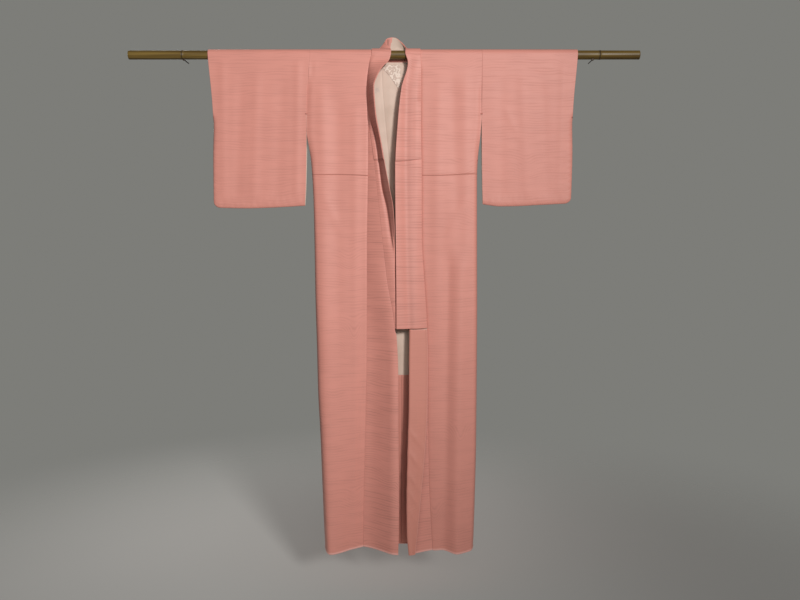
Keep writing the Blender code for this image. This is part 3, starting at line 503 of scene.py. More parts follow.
def white_material():
    n = Nodes("white_silk")
    _, at = n.place()
    x, z = at[0], at[2]
    where, _ = n.place()
    broad = n.noise(where, scale=14.0, detail=3.0)
    colour = n.blend(n.smooth(broad, 0.35, 0.70), (0.625, 0.475, 0.385, 1.0), (0.71, 0.545, 0.450, 1.0))

    def spot(cx, cz, rx, rz):
        dx = n.math("MULTIPLY", n.math("SUBTRACT", x, cx), 1.0 / rx)
        dz = n.math("MULTIPLY", n.math("SUBTRACT", z, cz), 1.0 / rz)
        far = n.math("ADD", n.math("MULTIPLY", dx, dx), n.math("MULTIPLY", dz, dz))
        return n.math("EXPONENT", n.math("MULTIPLY", far, -1.0))

    stain = n.math("MULTIPLY", spot(-0.0507, -0.108, 0.0075, 0.0115), n.smooth(n.noise(where, scale=160.0, detail=2.0), 0.30, 0.62))
    colour = n.blend(n.math("MULTIPLY", stain, 0.55), colour, (0.42, 0.36, 0.33, 1.0))
    for cx, cz in ((0.004, -0.035), (0.0015, -0.041), (0.0065, -0.045)):
        colour = n.blend(n.math("MULTIPLY", spot(cx, cz, 0.0011, 0.0013), 0.75), colour, (0.36, 0.20, 0.12, 1.0))
    n.put(n.shader.inputs["Base Color"], colour)
    set_shader(n, Roughness=0.55, Sheen_Weight=0.10, Specular_IOR_Level=0.3)
    n.bump(n.noise(where, scale=900.0, detail=0.0), 0.12, 0.0003)
    return n.material


def patch_material():
    n = Nodes("figured_silk")
    where, at = n.place()
    cells = n.node("ShaderNodeTexVoronoi", feature="F1")
    n.put(cells.inputs["Vector"], where)
    cells.inputs["Scale"].default_value = 75.0
    ring = n.math("SINE", n.math("MULTIPLY", cells.outputs["Distance"], 13.0))
    figure = n.smooth(ring, -0.2, 0.5)
    colour = n.blend(figure, (0.58, 0.43, 0.35, 1.0), (0.80, 0.66, 0.56, 1.0))
    n.put(n.shader.inputs["Base Color"], colour)
    set_shader(n, Roughness=0.5, Sheen_Weight=0.1)
    n.bump(figure, 0.3, 0.0003)
    return n.material


def bamboo_material():
    n = Nodes("bamboo")
    where, at = n.place()
    x, y, z = at
    fibres = n.noise(n.combine(n.math("MULTIPLY", x, 3.0), n.math("MULTIPLY", y, 230.0), n.math("MULTIPLY", z, 230.0)), detail=3.0)
    clouds = n.noise(n.combine(n.math("MULTIPLY", x, 7.0), n.math("MULTIPLY", y, 40.0), n.math("MULTIPLY", z, 40.0)), detail=2.0)
    colour = n.blend(n.smooth(fibres, 0.30, 0.72), (0.100, 0.056, 0.010, 1.0), (0.215, 0.138, 0.030, 1.0))
    colour = n.blend(n.math("MULTIPLY", n.smooth(clouds, 0.48, 0.75), 0.55), colour, (0.070, 0.040, 0.010, 1.0))
    for centre in POLE_NODES:
        off = n.math("MULTIPLY", n.math("SUBTRACT", x, centre - 0.0005), 1.0 / 0.0022)
        ring = n.math("EXPONENT", n.math("MULTIPLY", n.math("MULTIPLY", off, off), -1.0))
        colour = n.blend(n.math("MULTIPLY", ring, 0.85), colour, (0.030, 0.017, 0.007, 1.0))
    n.put(n.shader.inputs["Base Color"], colour)
    n.put(n.shader.inputs["Roughness"], n.math("MULTIPLY_ADD", clouds, 0.2, 0.34))
    set_shader(n, Specular_IOR_Level=0.45)
    n.bump(fibres, 0.25, 0.0006)
    return n.material


def steel_material():
    n = Nodes("steel")
    where, _ = n.place()
    rust = n.noise(where, scale=420.0, detail=3.0)
    n.put(n.shader.inputs["Base Color"], n.blend(n.smooth(rust, 0.42, 0.66), (0.045, 0.042, 0.040, 1.0), (0.085, 0.045, 0.025, 1.0)))
    set_shader(n, Metallic=0.8, Roughness=0.55)
    n.bump(rust, 0.3, 0.0003)
    return n.material


def thread_material():
    n = Nodes("thread")
    where, _ = n.place()
    n.put(n.shader.inputs["Base Color"], n.blend(n.noise(where, scale=800.0), (0.55, 0.17, 0.13, 1.0), (0.68, 0.25, 0.20, 1.0)))
    set_shader(n, Roughness=0.6)
    return n.material


SILK = silk_material("silk", (0.72, 0.296, 0.238), moire=0.72)
SILK_FRONT = silk_material("silk_front", (0.73, 0.300, 0.242), moire=1.2)
FUKI = silk_material("hem_roll", (0.80, 0.40, 0.34), moire=0.0, rough=0.55)
HEM = silk_material("hem_silk", (0.66, 0.265, 0.205), moire=0.30, rough=0.52)
WHITE = white_material()
PATCH = patch_material()
BAMBOO = bamboo_material()
STEEL = steel_material()
THREAD = thread_material()


# ---- meshes ------------------------------------------------------------------------
def add_mesh(name, points, faces, mats, indices=None, uv=None):
    mesh = bpy.data.meshes.new(name)
    mesh.from_pydata([tuple(p) for p in np.asarray(points).tolist()], [], [tuple(f) for f in faces])
    for m in mats:
        mesh.materials.append(m)
    if indices is not None:
        mesh.polygons.foreach_set("material_index", np.asarray(indices, np.int32))
    mesh.polygons.foreach_set("use_smooth", np.ones(len(mesh.polygons), bool))
    if uv is not None:
        layer = mesh.uv_layers.new(name="cloth")
        layer.data.foreach_set("uv", np.asarray(uv, np.float32).ravel())
    mesh.update()
    obj = bpy.data.objects.new(name, mesh)
    bpy.context.scene.collection.objects.link(obj)
    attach(obj, "root")
    return obj


def shell(name, V, F, uv, mats, half=HALF, face_mat=None, inner_mat=1, rim_mat=0, special_uv=None, seam=None):
    """A thin closed cloth round a sheet of quads V, F that faces out, with round edges.
    uv is by vertex; face_mat, inner_mat and rim_mat are material numbers, by face or alike for all (rim_mat may be a function of the edge's middle)."""
    V, F, uv = np.asarray(V, float), np.asarray(F, int), np.asarray(uv, float)
    n = len(V)
    half = np.broadcast_to(np.asarray(half, float), (n,))
    d1, d2 = V[F[:, 2]] - V[F[:, 0]], V[F[:, 3]] - V[F[:, 1]]
    fn = np.cross(d1, d2)
    normal = np.zeros((n, 3))
    for c in range(4):
        np.add.at(normal, F[:, c], fn)
    normal /= np.maximum(np.linalg.norm(normal, axis=1), 1e-12)[:, None]
    a = F.ravel()
    b = np.roll(F, -1, axis=1).ravel()
    key = a.astype(np.int64) * n + b
    reverse = b.astype(np.int64) * n + a
    border = ~np.isin(key, reverse)
    ea, eb = a[border], b[border]
    out_dir = np.zeros((n, 3))
    way = np.cross(V[eb] - V[ea], normal[ea] + normal[eb])
    way /= np.maximum(np.linalg.norm(way, axis=1), 1e-12)[:, None]
    np.add.at(out_dir, ea, way)
    np.add.at(out_dir, eb, way)
    ids = np.unique(np.concatenate([ea, eb]))
    out = out_dir[ids]
    out -= normal[ids] * np.sum(out * normal[ids], axis=1)[:, None]
    out /= np.maximum(np.linalg.norm(out, axis=1), 1e-12)[:, None]
    rings = []
    points = [V + normal * half[:, None], V - normal * half[:, None]]
    index = np.full(n, -1)
    index[ids] = np.arange(len(ids))
    start = 2 * n
    ring_ids = [np.arange(n)]
    for angle in (45.0, 90.0, 135.0):
        t = math.radians(angle)
        points.append(V[ids] + half[ids][:, None] * (math.cos(t) * normal[ids] + math.sin(t) * out))
        lookup = np.full(n, -1)
        lookup[ids] = start + np.arange(len(ids))
        start += len(ids)
        ring_ids.append(lookup)
    ring_ids.append(np.arange(n) + n)
    faces = [F, (F + n)[:, ::-1]]
    uvs = [uv[F] if special_uv is None else special_uv(F, uv[F])]
    uvs.append(uvs[0][:, ::-1])
    m_out = np.broadcast_to(np.asarray(0 if face_mat is None else face_mat), (len(F),))
    m_in = np.broadcast_to(np.asarray(inner_mat), (len(F),))
    mats_of = [m_out, m_in]
    rim = rim_mat((V[ea] + V[eb]) / 2) if callable(rim_mat) else np.full(len(ea), rim_mat)
    for k in range(4):
        p, q = ring_ids[k], ring_ids[k + 1]
        faces.append(np.stack([p[eb], p[ea], q[ea], q[eb]], axis=1))
        uvs.append(np.stack([uv[eb], uv[ea], uv[ea], uv[eb]], axis=1))
        mats_of.append(rim)
    obj = add_mesh(name, np.concatenate(points), np.concatenate(faces), mats, np.concatenate(mats_of), np.concatenate(uvs).reshape(-1, 2))
    # the seam attribute holds painted shade by vertex, which the silk materials darken by
    painted_shade_marks = np.zeros(len(obj.data.vertices), np.float32)
    if seam is not None:
        painted_shade_marks[:n] = painted_shade_marks[n:2 * n] = seam
    layer = obj.data.attributes.new("seam", "FLOAT", "POINT")
    layer.data.foreach_set("value", painted_shade_marks)
    return obj


def quads_of(rows, columns, flip=False, keep=None):
    i, j = np.meshgrid(np.arange(rows - 1), np.arange(columns - 1), indexing="ij")
    if keep is not None:
        chosen = keep(i, j)
        i, j = i[chosen], j[chosen]
    i, j = i.ravel(), j.ravel()
    F = np.stack([i * columns + j, i * columns + j + 1, (i + 1) * columns + j + 1, (i + 1) * columns + j], axis=1)
    return F[:, ::-1] if flip else F


def compact(V, F, uv):
    used = np.unique(F)
    index = np.full(len(V), -1)
    index[used] = np.arange(len(used))
    return V[used], index[F], uv[used], index


def tube(points, radius, sides=6):
    """A closed thin tube along points, as (vertices, faces)."""
    P = np.asarray(points, float)
    t = np.gradient(P, axis=0)
    t /= np.linalg.norm(t, axis=1)[:, None]
    up = np.array([0.0, 1.0, 0.0]) if abs(t[0][1]) < 0.9 else np.array([1.0, 0.0, 0.0])
    verts, faces = [], []
    for k in range(len(P)):
        one = np.cross(t[k], up)
        one /= np.linalg.norm(one)
        two = np.cross(t[k], one)
        for s in range(sides):
            angle = 2 * math.pi * s / sides
            verts.append(P[k] + radius * (math.cos(angle) * one + math.sin(angle) * two))
    for k in range(len(P) - 1):
        for s in range(sides):
            e = (s + 1) % sides
            faces.append((k * sides + s, (k + 1) * sides + s, (k + 1) * sides + e, k * sides + e))
    faces.append(tuple(range(sides)))
    faces.append(tuple(reversed([(len(P) - 1) * sides + s for s in range(sides)])))
    return np.array(verts), faces


def join_parts(parts):
    verts, faces, offset = [], [], 0
    for v, f in parts:
        verts.append(v)
        faces += [tuple(i + offset for i in face) for face in f]
        offset += len(v)
    return np.concatenate(verts), faces


# ---- the cloth ---------------------------------------------------------------------
def body(side):
    number = 1.0 if side == "right" else 2.0
    low = heights_down(-GARMENT, HEM_EXTRA + TUCK_EXTRA)
    arc = np.linspace(0, 1, 26)[1:-1]
    back = 1.0 - low[::-1]
    neck_q = 1.0 + NECK_DROP
    back = np.sort(np.append(back, [neck_q]))
    low = low[low != 0.0] if False else low
    rows = np.concatenate([low, arc, back])
    # the front and back rows must pair up under the side opening, so the neck row sits above it
    a = spread(0.20)
    b = spread(0.075, fine=(0.0, 0.0012, 0.0030)) + 1.0
    v = np.concatenate([a, b[1:]])
    inner = len(a) - 1
    q, vv = np.meshgrid(rows, v, indexing="ij")
    vf = np.minimum(vv, 1.0)
    X, Y, Z = np.zeros(q.shape), np.zeros(q.shape), np.zeros(q.shape)
    front = q <= 0
    fx, fy, fz = body_front(side, vf, np.minimum(q, 0.0))
    over = (q > 0) & (q < 1)
    ox = mix(along(SIDE[side], np.zeros(q.shape)), NECK[side], vf)
    angle = math.pi * np.clip(q, 0, 1)
    zb = np.minimum(1.0 - q, 0.0)
    centre = 0.0
    bx = np.where(vv <= 1, mix(along(SIDE[side], zb), NECK[side], vf), mix(NECK[side], centre, vv - 1.0))
    by = back_surface(bx, zb, side)
    X = np.where(front, fx, np.where(over, ox, bx))
    Y = np.where(front, fy, np.where(over, -CLOTH_R * np.cos(angle), by))
    Z = np.where(front, fz, np.where(over, CLOTH_R * np.sin(angle), zb))
    # a distance from the side edge, which nothing below uses
    u = np.abs(mix(along(SIDE[side], np.minimum(np.where(front, q, zb), 0.0)), 0.0, 0.0) - X) + number
    uv = np.stack([X + number * 1.7, run_of(q)], axis=-1).reshape(-1, 2)
    V = np.stack([X, Y, Z], axis=-1).reshape(-1, 3)
    neck_row = int(np.searchsorted(rows, neck_q - 1e-9))
    keep = lambda i, j: (j < inner) | (i >= neck_row)
    F = quads_of(len(rows), len(v), keep=keep)
    n = len(v)
    # the side seam: pair front and back rows of the same height
    sewn = np.where(rows <= -SIDE_OPENING)[0]
    pairs = [(i, int(np.argmin(np.abs(rows - (1.0 - rows[i]))))) for i in sewn]
    closing = []
    for (i, k), (i2, k2) in zip(pairs[:-1], pairs[1:]):
        closing.append((i * n, i2 * n, k2 * n, k * n))
    F = np.concatenate([F, np.array(closing)])
    if side == "left":
        F = F[:, ::-1]
    V, F, uv, _ = compact(V, F, uv)
    count = len(closing)

    def special(faces, corner):
        corner = corner.copy()
        corner[-count:, :, 1] = V[faces[-count:]][:, :, 2]
        return corner

    z = V[:, 2]
    hem = -GARMENT + 0.0048
    wave_z = 0.42 * (-V[:, 1] - 0.008) * opened(z)
    level = z + np.where(V[:, 1] < 0.005, wave_z, 0.0)
    half = HALF + 0.0009 * ease((hem - level) / 0.004)
    centres = V[F].mean(axis=1)
    clevel = level[F].mean(axis=1)
    face_mat = np.where(clevel < -GARMENT + 0.0040, 3, 0)
    inner_mat = np.where(clevel < -LINING_END, 2, 1)

    def rim(mid):
        lev = mid[:, 2] + np.where(mid[:, 1] < 0.005, 0.42 * (-mid[:, 1] - 0.008) * opened(mid[:, 2]), 0.0)
        return np.where(lev < -GARMENT + 0.002, 3, 0)

    # painted seam shade: darker lines along the tuck seam, the front seam, the side seam by the armhole and the back's
    # middle seam
    on_front = V[:, 1] < 0.004
    painted_shade_mark = np.where(on_front, np.exp(-(((z - tuck_line(V[:, 0]) + 0.0008) / 0.0013) ** 2)), 0.0)
    painted_shade_mark = np.maximum(painted_shade_mark, np.exp(-((np.abs(V[:, 0] - along(FRONT_SEAM[side], z)) / 0.0012) ** 2)) * on_front * (z < -0.03) * 0.8)
    painted_shade_mark = np.maximum(painted_shade_mark, np.exp(-((np.abs(V[:, 0] - along(SIDE[side], z)) / 0.0012) ** 2)) * (z > -ARMHOLE) * (z < 0.05) * 0.5)
    painted_shade_mark = np.maximum(painted_shade_mark, np.exp(-((V[:, 0] / 0.0012) ** 2)) * ~on_front * 0.7)
    return shell("cloth_body_" + side, V, F, uv, [SILK, WHITE, HEM, FUKI], half, face_mat, inner_mat, rim, special, seam=painted_shade_mark)


def sleeve(side):
    number = 3.0 if side == "right" else 4.0
    low = np.linspace(-SLEEVE, -0.470, 7)[:-1]
    low = np.concatenate([low, np.linspace(-0.470, 0.0, 88)])
    closed_at = int(np.argmin(np.abs(low + WRIST)))
    low[closed_at] = -WRIST
    arc = np.linspace(0, 1, 26)[1:-1]
    rows = np.concatenate([low, arc, (1.0 - low)[::-1]])
    s = spread(0.30)
    q, ss = np.meshgrid(rows, s, indexing="ij")
    flat = np.where(q <= 0, q, np.where(q < 1, 0.0, 1.0 - q))
    edge = along(SLEEVE_OUTER[side], flat)
    x = mix(edge, along(SLEEVE_INNER[side], flat), ss)
    lowest = along(SLEEVE_BOTTOM[side], x)
    from_edge = np.abs(x - edge)
    corner = 0.020
    lowest = lowest + np.where(from_edge < corner, corner - np.sqrt(np.maximum(corner**2 - (corner - from_edge) ** 2, 0.0)), 0.0)
    z = flat * mix(1.0, -lowest / SLEEVE, ease(-flat / SLEEVE))
    depth = mix(CLOTH_R, 0.0046, ease(-flat / SLEEVE) ** 0.9)
    below = ease((-flat - WRIST + 0.02) / 0.05)
    depth = depth * mix(1.0, rounded(from_edge + 0.0003, 0.014), below)
    depth = depth * rounded((flat + SLEEVE) + 0.0004, 0.016)
    depth = np.maximum(depth, 0.0012)
    lift = creases(SLEEVE_CREASES, x, z) + 0.0008 * ripple(x, z, 21 if side == "right" else 22)
    lift = lift * ease(-flat / 0.05) * ease((flat + SLEEVE) / 0.05)
    uneven = ripple(x * 5.0, z * 9.0, 23) + 0.5 * ripple(x * 9.0, z * 12.0, 24)
    pucker = 0.0013 * uneven * ease((flat + SLEEVE) / 0.004) * ease(1.0 - (flat + SLEEVE) / 0.050)
    edge_pull = 0.0006 * np.sin(z * 2 * math.pi / 0.021) * ease(1.0 - from_edge / 0.022) * below
    angle = math.pi * np.clip(q, 0, 1)
    Y = np.where(q <= 0, -depth - lift - pucker - edge_pull, np.where(q < 1, -CLOTH_R * np.cos(angle), depth + lift * 0.8 + pucker + edge_pull))
    Z = np.where((q > 0) & (q < 1), CLOTH_R * np.sin(angle), z)
    V = np.stack([x, Y, Z], axis=-1).reshape(-1, 3)
    uv = np.stack([x + number * 1.7, run_of(q)], axis=-1).reshape(-1, 2)
    n, total = len(s), len(rows)
    F = quads_of(total, n)
    closing = []
    for j in range(n - 1):  # the bottom fold
        closing.append(((total - 1) * n + j, (total - 1) * n + j + 1, j + 1, j))
    for i in range(closed_at):  # the outer seam
        a, b, c, d = i * n, (i + 1) * n, (total - 2 - i) * n, (total - 1 - i) * n
        closing.append((a, b, c, d))
    F = np.concatenate([F, np.array(closing)])
    if side == "left":
        F = F[:, ::-1]
    count = len(closing)

    def special(faces, corner):
        corner = corner.copy()
        corner[-count:, :, 1] = V[faces[-count:]][:, :, 2]
        return corner

    inner_edge = along(SLEEVE_INNER[side], np.full(1, -0.3))[0]

    def rim(mid):
        return np.where((np.abs(mid[:, 0]) < abs(inner_edge) + 0.03) & (mid[:, 2] < -ARMHOLE), 1, 0)

    return shell("cloth_sleeve_" + side, V, F, uv, [SILK, WHITE], HALF, None, 1, rim, special)


def overlap_right_at(z, s):
    x0, y0, low = body_front("right", np.ones(z.shape), z)
    x1, y1 = along(OVERLAP_EDGE, z), along(OVERLAP_EDGE_Y, z)
    rise = mix(1.0 - (1.0 - s) ** 1.7, ease(s) ** 1.25, 0.85 * ease((-z - 0.60) / 0.40))
    rise = mix(rise, s, 0.7 * ease((-z - 0.24) / 0.08) * (1.0 - ease((-z - 0.60) / 0.12)))
    y = mix(y0, y1, rise)
    x = mix(x0 + 0.0002, x1, s)
    y = y + 0.0009 * np.exp(-(((x - x0) / 0.0030) ** 2)) * 0.5
    y = y - 0.0010 * ripple(x, z, 31) * ease(s / 0.3) * ease((-z - 0.25) / 0.2)
    # the free edge turns under a little, and lifts a soft ridge behind it
    free = ease((-z - 0.90) / 0.08)
    y = y + 0.0024 * free * (1.0 - ease((1.0 - s) / 0.10))
    y = y - 0.0016 * free * np.exp(-(((s - 0.80) / 0.10) ** 2))
    return x, y, mix(low, z - 0.013 * opened(z), s)


def overlap_right():
    rows = np.sort(heights_down(-GARMENT, HEM_EXTRA))
    rows = rows[rows <= -KENSAKI]
    s = spread(0.105)
    z, ss = np.meshgrid(rows, s, indexing="ij")
    x, y, zz = overlap_right_at(z, ss)
    V = np.stack([x, y, zz], axis=-1).reshape(-1, 3)
    uv = np.stack([x + 8.5, z], axis=-1).reshape(-1, 2)
    F = quads_of(len(rows), len(s))
    level = z.reshape(-1)
    half = HALF + 0.0009 * ease((-GARMENT + 0.0048 - level) / 0.004)
    clevel = level[F].mean(axis=1)
    return shell("cloth_overlap_right", V, F, uv, [SILK_FRONT, WHITE, HEM, FUKI], half, np.where(clevel < -GARMENT + 0.0040, 3, 0),
                 np.where(clevel < -LINING_END, 2, 1), lambda mid: np.where(mid[:, 2] < -GARMENT - 0.006, 3, 0))


def overlap_left_at(z, s):
    x0, y0, low = body_front("left", np.ones(z.shape), z)
    xf, yf, xe, ye = (along([(row[0], row[k][c]) for row in PLEAT], z) for k, c in ((1, 0), (1, 1), (2, 0), (2, 1)))
    bend = np.minimum(0.0035, 0.35 * (x0 - xf))
    half = mix(0.00105, 0.0028, ease((x0 - xf) / 0.03))
    bottom = z - 0.012 * opened(z)
    t = s / 0.8
    ax, ay, az = mix(x0 - 0.0002, xf + bend, t), mix(y0, yf + half, np.clip(t, 0, None) ** 1.3), mix(low, bottom, t)
    angle = (s - 0.8) / 0.4 * math.pi
    bx, by = xf + bend * (1 - np.sin(angle)), yf + half * np.cos(angle)
    t2 = (s - 1.2) / 0.8
    cx, cy = mix(xf + bend, xe, t2), mix(yf - half, ye, t2)
    x = np.where(s <= 0.8, ax, np.where(s <= 1.2, bx, cx))
    y = np.where(s <= 0.8, ay, np.where(s <= 1.2, by, cy))
    zz = np.where(s <= 0.8, az, bottom)
    return x, y, zz


def overlap_left():
    rows = np.sort(heights_down(-GARMENT, HEM_EXTRA))
    rows = rows[rows <= -KENSAKI]
    s = np.concatenate([np.linspace(0, 0.8, 14), np.linspace(0.8, 1.2, 11)[1:], np.linspace(1.2, 2.0, 14)[1:]])
    z, ss = np.meshgrid(rows, s, indexing="ij")
    x, y, zz = overlap_left_at(z, ss)
    V = np.stack([x, y, zz], axis=-1).reshape(-1, 3)
    uv = np.stack([ss * 0.06 + 10.2, z], axis=-1).reshape(-1, 2)
    free = along([(row[0], row[2][0]) for row in PLEAT], z)
    # painted shadow on the overlap panel under and just beside the turned facing's free edge
    painted_edge_shadow = (np.where(ss < 0.8, 0.55, 0.0) * np.exp(-((np.maximum(x - free, 0.0) / 0.010) ** 2)) * ease((-z - 0.88) / 0.05)).reshape(-1)
    F = quads_of(len(rows), len(s), flip=True)
    level = z.reshape(-1)
    half = HALF + 0.0006 * ease((-GARMENT + 0.0048 - level) / 0.004)
    clevel = level[F].mean(axis=1)
    return shell("cloth_overlap_left", V, F, uv, [SILK_FRONT, WHITE, HEM, FUKI], half, np.where(clevel < -GARMENT + 0.0040, 3, 0),
                 np.where(clevel < -LINING_END, 2, 1), lambda mid: np.where(mid[:, 2] < -GARMENT - 0.004, 3, 0), seam=painted_edge_shadow)


def facing():
    rows = np.sort(heights_down(-GARMENT, HEM_EXTRA))
    rows = rows[rows <= -COLLAR_END]
    rows = np.append(rows, -COLLAR_END)
    s = np.concatenate([np.linspace(1.07, 1.2, 5)[:-1], np.linspace(1.2, 1.99, 20)])
    z, ss = np.meshgrid(rows, s, indexing="ij")
    x, y, zz = overlap_left_at(z, ss)
    px, py, _ = overlap_left_at(z, np.minimum(ss + 0.01, 2.0))
    mx, my, _ = overlap_left_at(z, ss - 0.01)
    tx, ty = px - mx, py - my
    size = np.hypot(tx, ty)
    t = np.clip((ss - 1.2) / 0.8, 0, 1)
    # diagonal folds where the turned edge is drawn aside, and a soft ridge along the middle
    pull = np.zeros(z.shape)
    for start, height, width in ((-1.205, 0.0022, 0.011), (-1.275, 0.0026, 0.012), (-1.345, 0.0022, 0.010), (-1.400, 0.0017, 0.009), (-1.46, 0.0012, 0.010)):
        line = start - 0.060 * t
        pull += height * np.exp(-(((z - line) / width) ** 2)) * np.sin(math.pi * np.clip(t * 0.9 + 0.1, 0, 1)) ** 0.7
    pull += 0.0012 * np.exp(-(((t - 0.45) / 0.22) ** 2)) * ease((-z - 1.0) / 0.2)
    pull += 0.0005 * ripple(x, z, 41)
    move = 0.0021 + np.maximum(pull, -0.0004) + 0.0016 * ease((t - 0.86) / 0.14)
    V = np.stack([x + move * ty / size, y - move * tx / size, zz], axis=-1).reshape(-1, 3)
    uv = np.stack([ss * 0.06 + 12.1, z], axis=-1).reshape(-1, 2)
    F = quads_of(len(rows), len(s), flip=True)
    return shell("cloth_facing_left", V, F, uv, [HEM, FUKI], 0.0007, None, 0, 1)


def leg(side, z):
    """Six points across the collar at each height."""
    table = COLLAR_RIGHT if side == "right" else COLLAR_LEFT
    P = np.zeros((len(z), 6, 3))
    for k in range(6):
        P[:, k, 0] = along([(r[0], r[k + 1][0]) for r in table], z)
        P[:, k, 1] = along([(r[0], r[k + 1][1]) for r in table], z)
        P[:, k, 2] = z
    if side == "right":
        x, y, _ = body_front("right", np.ones(z.shape), z)
        lower = z <= -KENSAKI
        P[:, 0, 0] = np.where(lower, along(OVERLAP_EDGE, z) + 0.0003, x + 0.0003)
        P[:, 0, 1] = np.where(lower, along(OVERLAP_EDGE_Y, z), y)
        lie = 0.85 * ease((-z - 0.19) / 0.06) * (1.0 - ease((-z - 0.56) / 0.08))
        P[:, 1, 1] = mix(P[:, 1, 1], P[:, 0, 1] - 0.0022, lie)
        P[:, 2, 1] = mix(P[:, 2, 1], P[:, 0, 1] - 0.0020, lie)
    else:
        x, y, _ = body_front("left", np.ones(z.shape), z)
        P[:, 0, 0] = np.where(z > -0.15, x - 0.0003, P[:, 0, 0])
        P[:, 0, 1] = np.where(z > -0.15, y, P[:, 0, 1])
        middle = P[:, 1:5, 1].copy()
        P[:, 1:5, 1] = 0.4 * middle + 0.3 * (P[:, 0:4, 1] + P[:, 2:6, 1])
    return P


def collar_points(columns):
    z = np.sort(heights_down(-COLLAR_END, (), 0.005))
    right, left = leg("right", z), leg("left", z[::-1])
    nape = np.array([[mix(np.array(a), np.array(b), k / 5) for k in range(6)] for a, b in NAPE])
    for i in range(nape.shape[0]):
        for k in range(6):
            x, y, h = nape[i, k]
            if h > 0.018 and y > 0:
                y += 0.0035 * math.sin(math.pi * k / 5)
            reach, clear = math.hypot(y, h), CLOTH_R + 0.0008
            if reach < clear:
                y, h = y * clear / reach, h * clear / reach
            nape[i, k] = (x, y, h)
    joined = np.concatenate([right[-1:], nape, left[:1]])
    t = np.linspace(0, len(joined) - 1, 99)[1:-1]
    over = np.moveaxis(catmull(np.moveaxis(joined, 0, 1), t), 0, 1)
    reach = np.hypot(over[..., 1], over[..., 2])
    scale = np.where((reach < CLOTH_R + 0.0009) & (over[..., 2] > -0.01), (CLOTH_R + 0.0009) / np.maximum(reach, 1e-6), 1.0)
    over[..., 1] *= scale
    over[..., 2] *= scale
    six = np.concatenate([right, over, left])
    P = catmull(six, np.linspace(0, 5, columns))
    sides = np.concatenate([np.full(len(right), -1), np.zeros(len(over)), np.full(len(left), 1)])
    return P, sides


def collar_creases(P, sides, columns):
    """The left leg's long crease, and slow waves along both free edges."""
    P = P.copy()
    t = np.linspace(0, 1, columns)[None, :]
    z = P[:, :, 2]
    left = (sides == 1)[:, None]
    crease = np.exp(-(((P[:, :, 0] - along(((0.0, 0.054), (-0.10, 0.043), (-0.30, 0.040), (-0.60, 0.043), (-0.875, 0.052)), z)) / 0.0115) ** 2))
    P[:, :, 1] += np.where(left, 0.0026 * crease * ease(-z / 0.05), 0.0)
    soft = np.exp(-(((P[:, :, 0] - 0.074) / 0.010) ** 2))
    P[:, :, 1] -= np.where(left, 0.0004 * soft * ease(-z / 0.05), 0.0)
    legs = np.abs(sides)[:, None]
    P[:, :, 1] -= legs * 0.0010 * ripple(P[:, :, 0] * 0.5, z, 51) * ease(-z / 0.06) * ease(t / 0.25)
    return P


def offset(P, move):
    du = np.gradient(P, axis=0)
    dv = np.gradient(P, axis=1)
    normal = np.cross(dv, du)
    normal /= np.maximum(np.linalg.norm(normal, axis=-1), 1e-12)[..., None]
    return P + normal * np.asarray(move)[..., None]


def painted_collar_shade(P, sides):
    """Painted shade: darker where the right leg turns away from the light, and along the left leg's soft fold."""
    normal = np.cross(np.gradient(P, axis=1), np.gradient(P, axis=0))
    normal /= np.maximum(np.linalg.norm(normal, axis=-1), 1e-12)[..., None]
    z = P[:, :, 2]
    away = ease((-normal[..., 0] - 0.30) / 0.40) * (sides == -1)[:, None] * ease((-z - 0.03) / 0.12)
    line = along(((0.0, 0.066), (-0.10, 0.057), (-0.30, 0.054), (-0.60, 0.056), (-0.875, 0.063)), z)
    fold = np.exp(-(((P[:, :, 0] - line) / 0.0085) ** 2)) * (sides == 1)[:, None] * ease((-z - 0.04) / 0.15)
    return 1.3 * away + 0.30 * fold


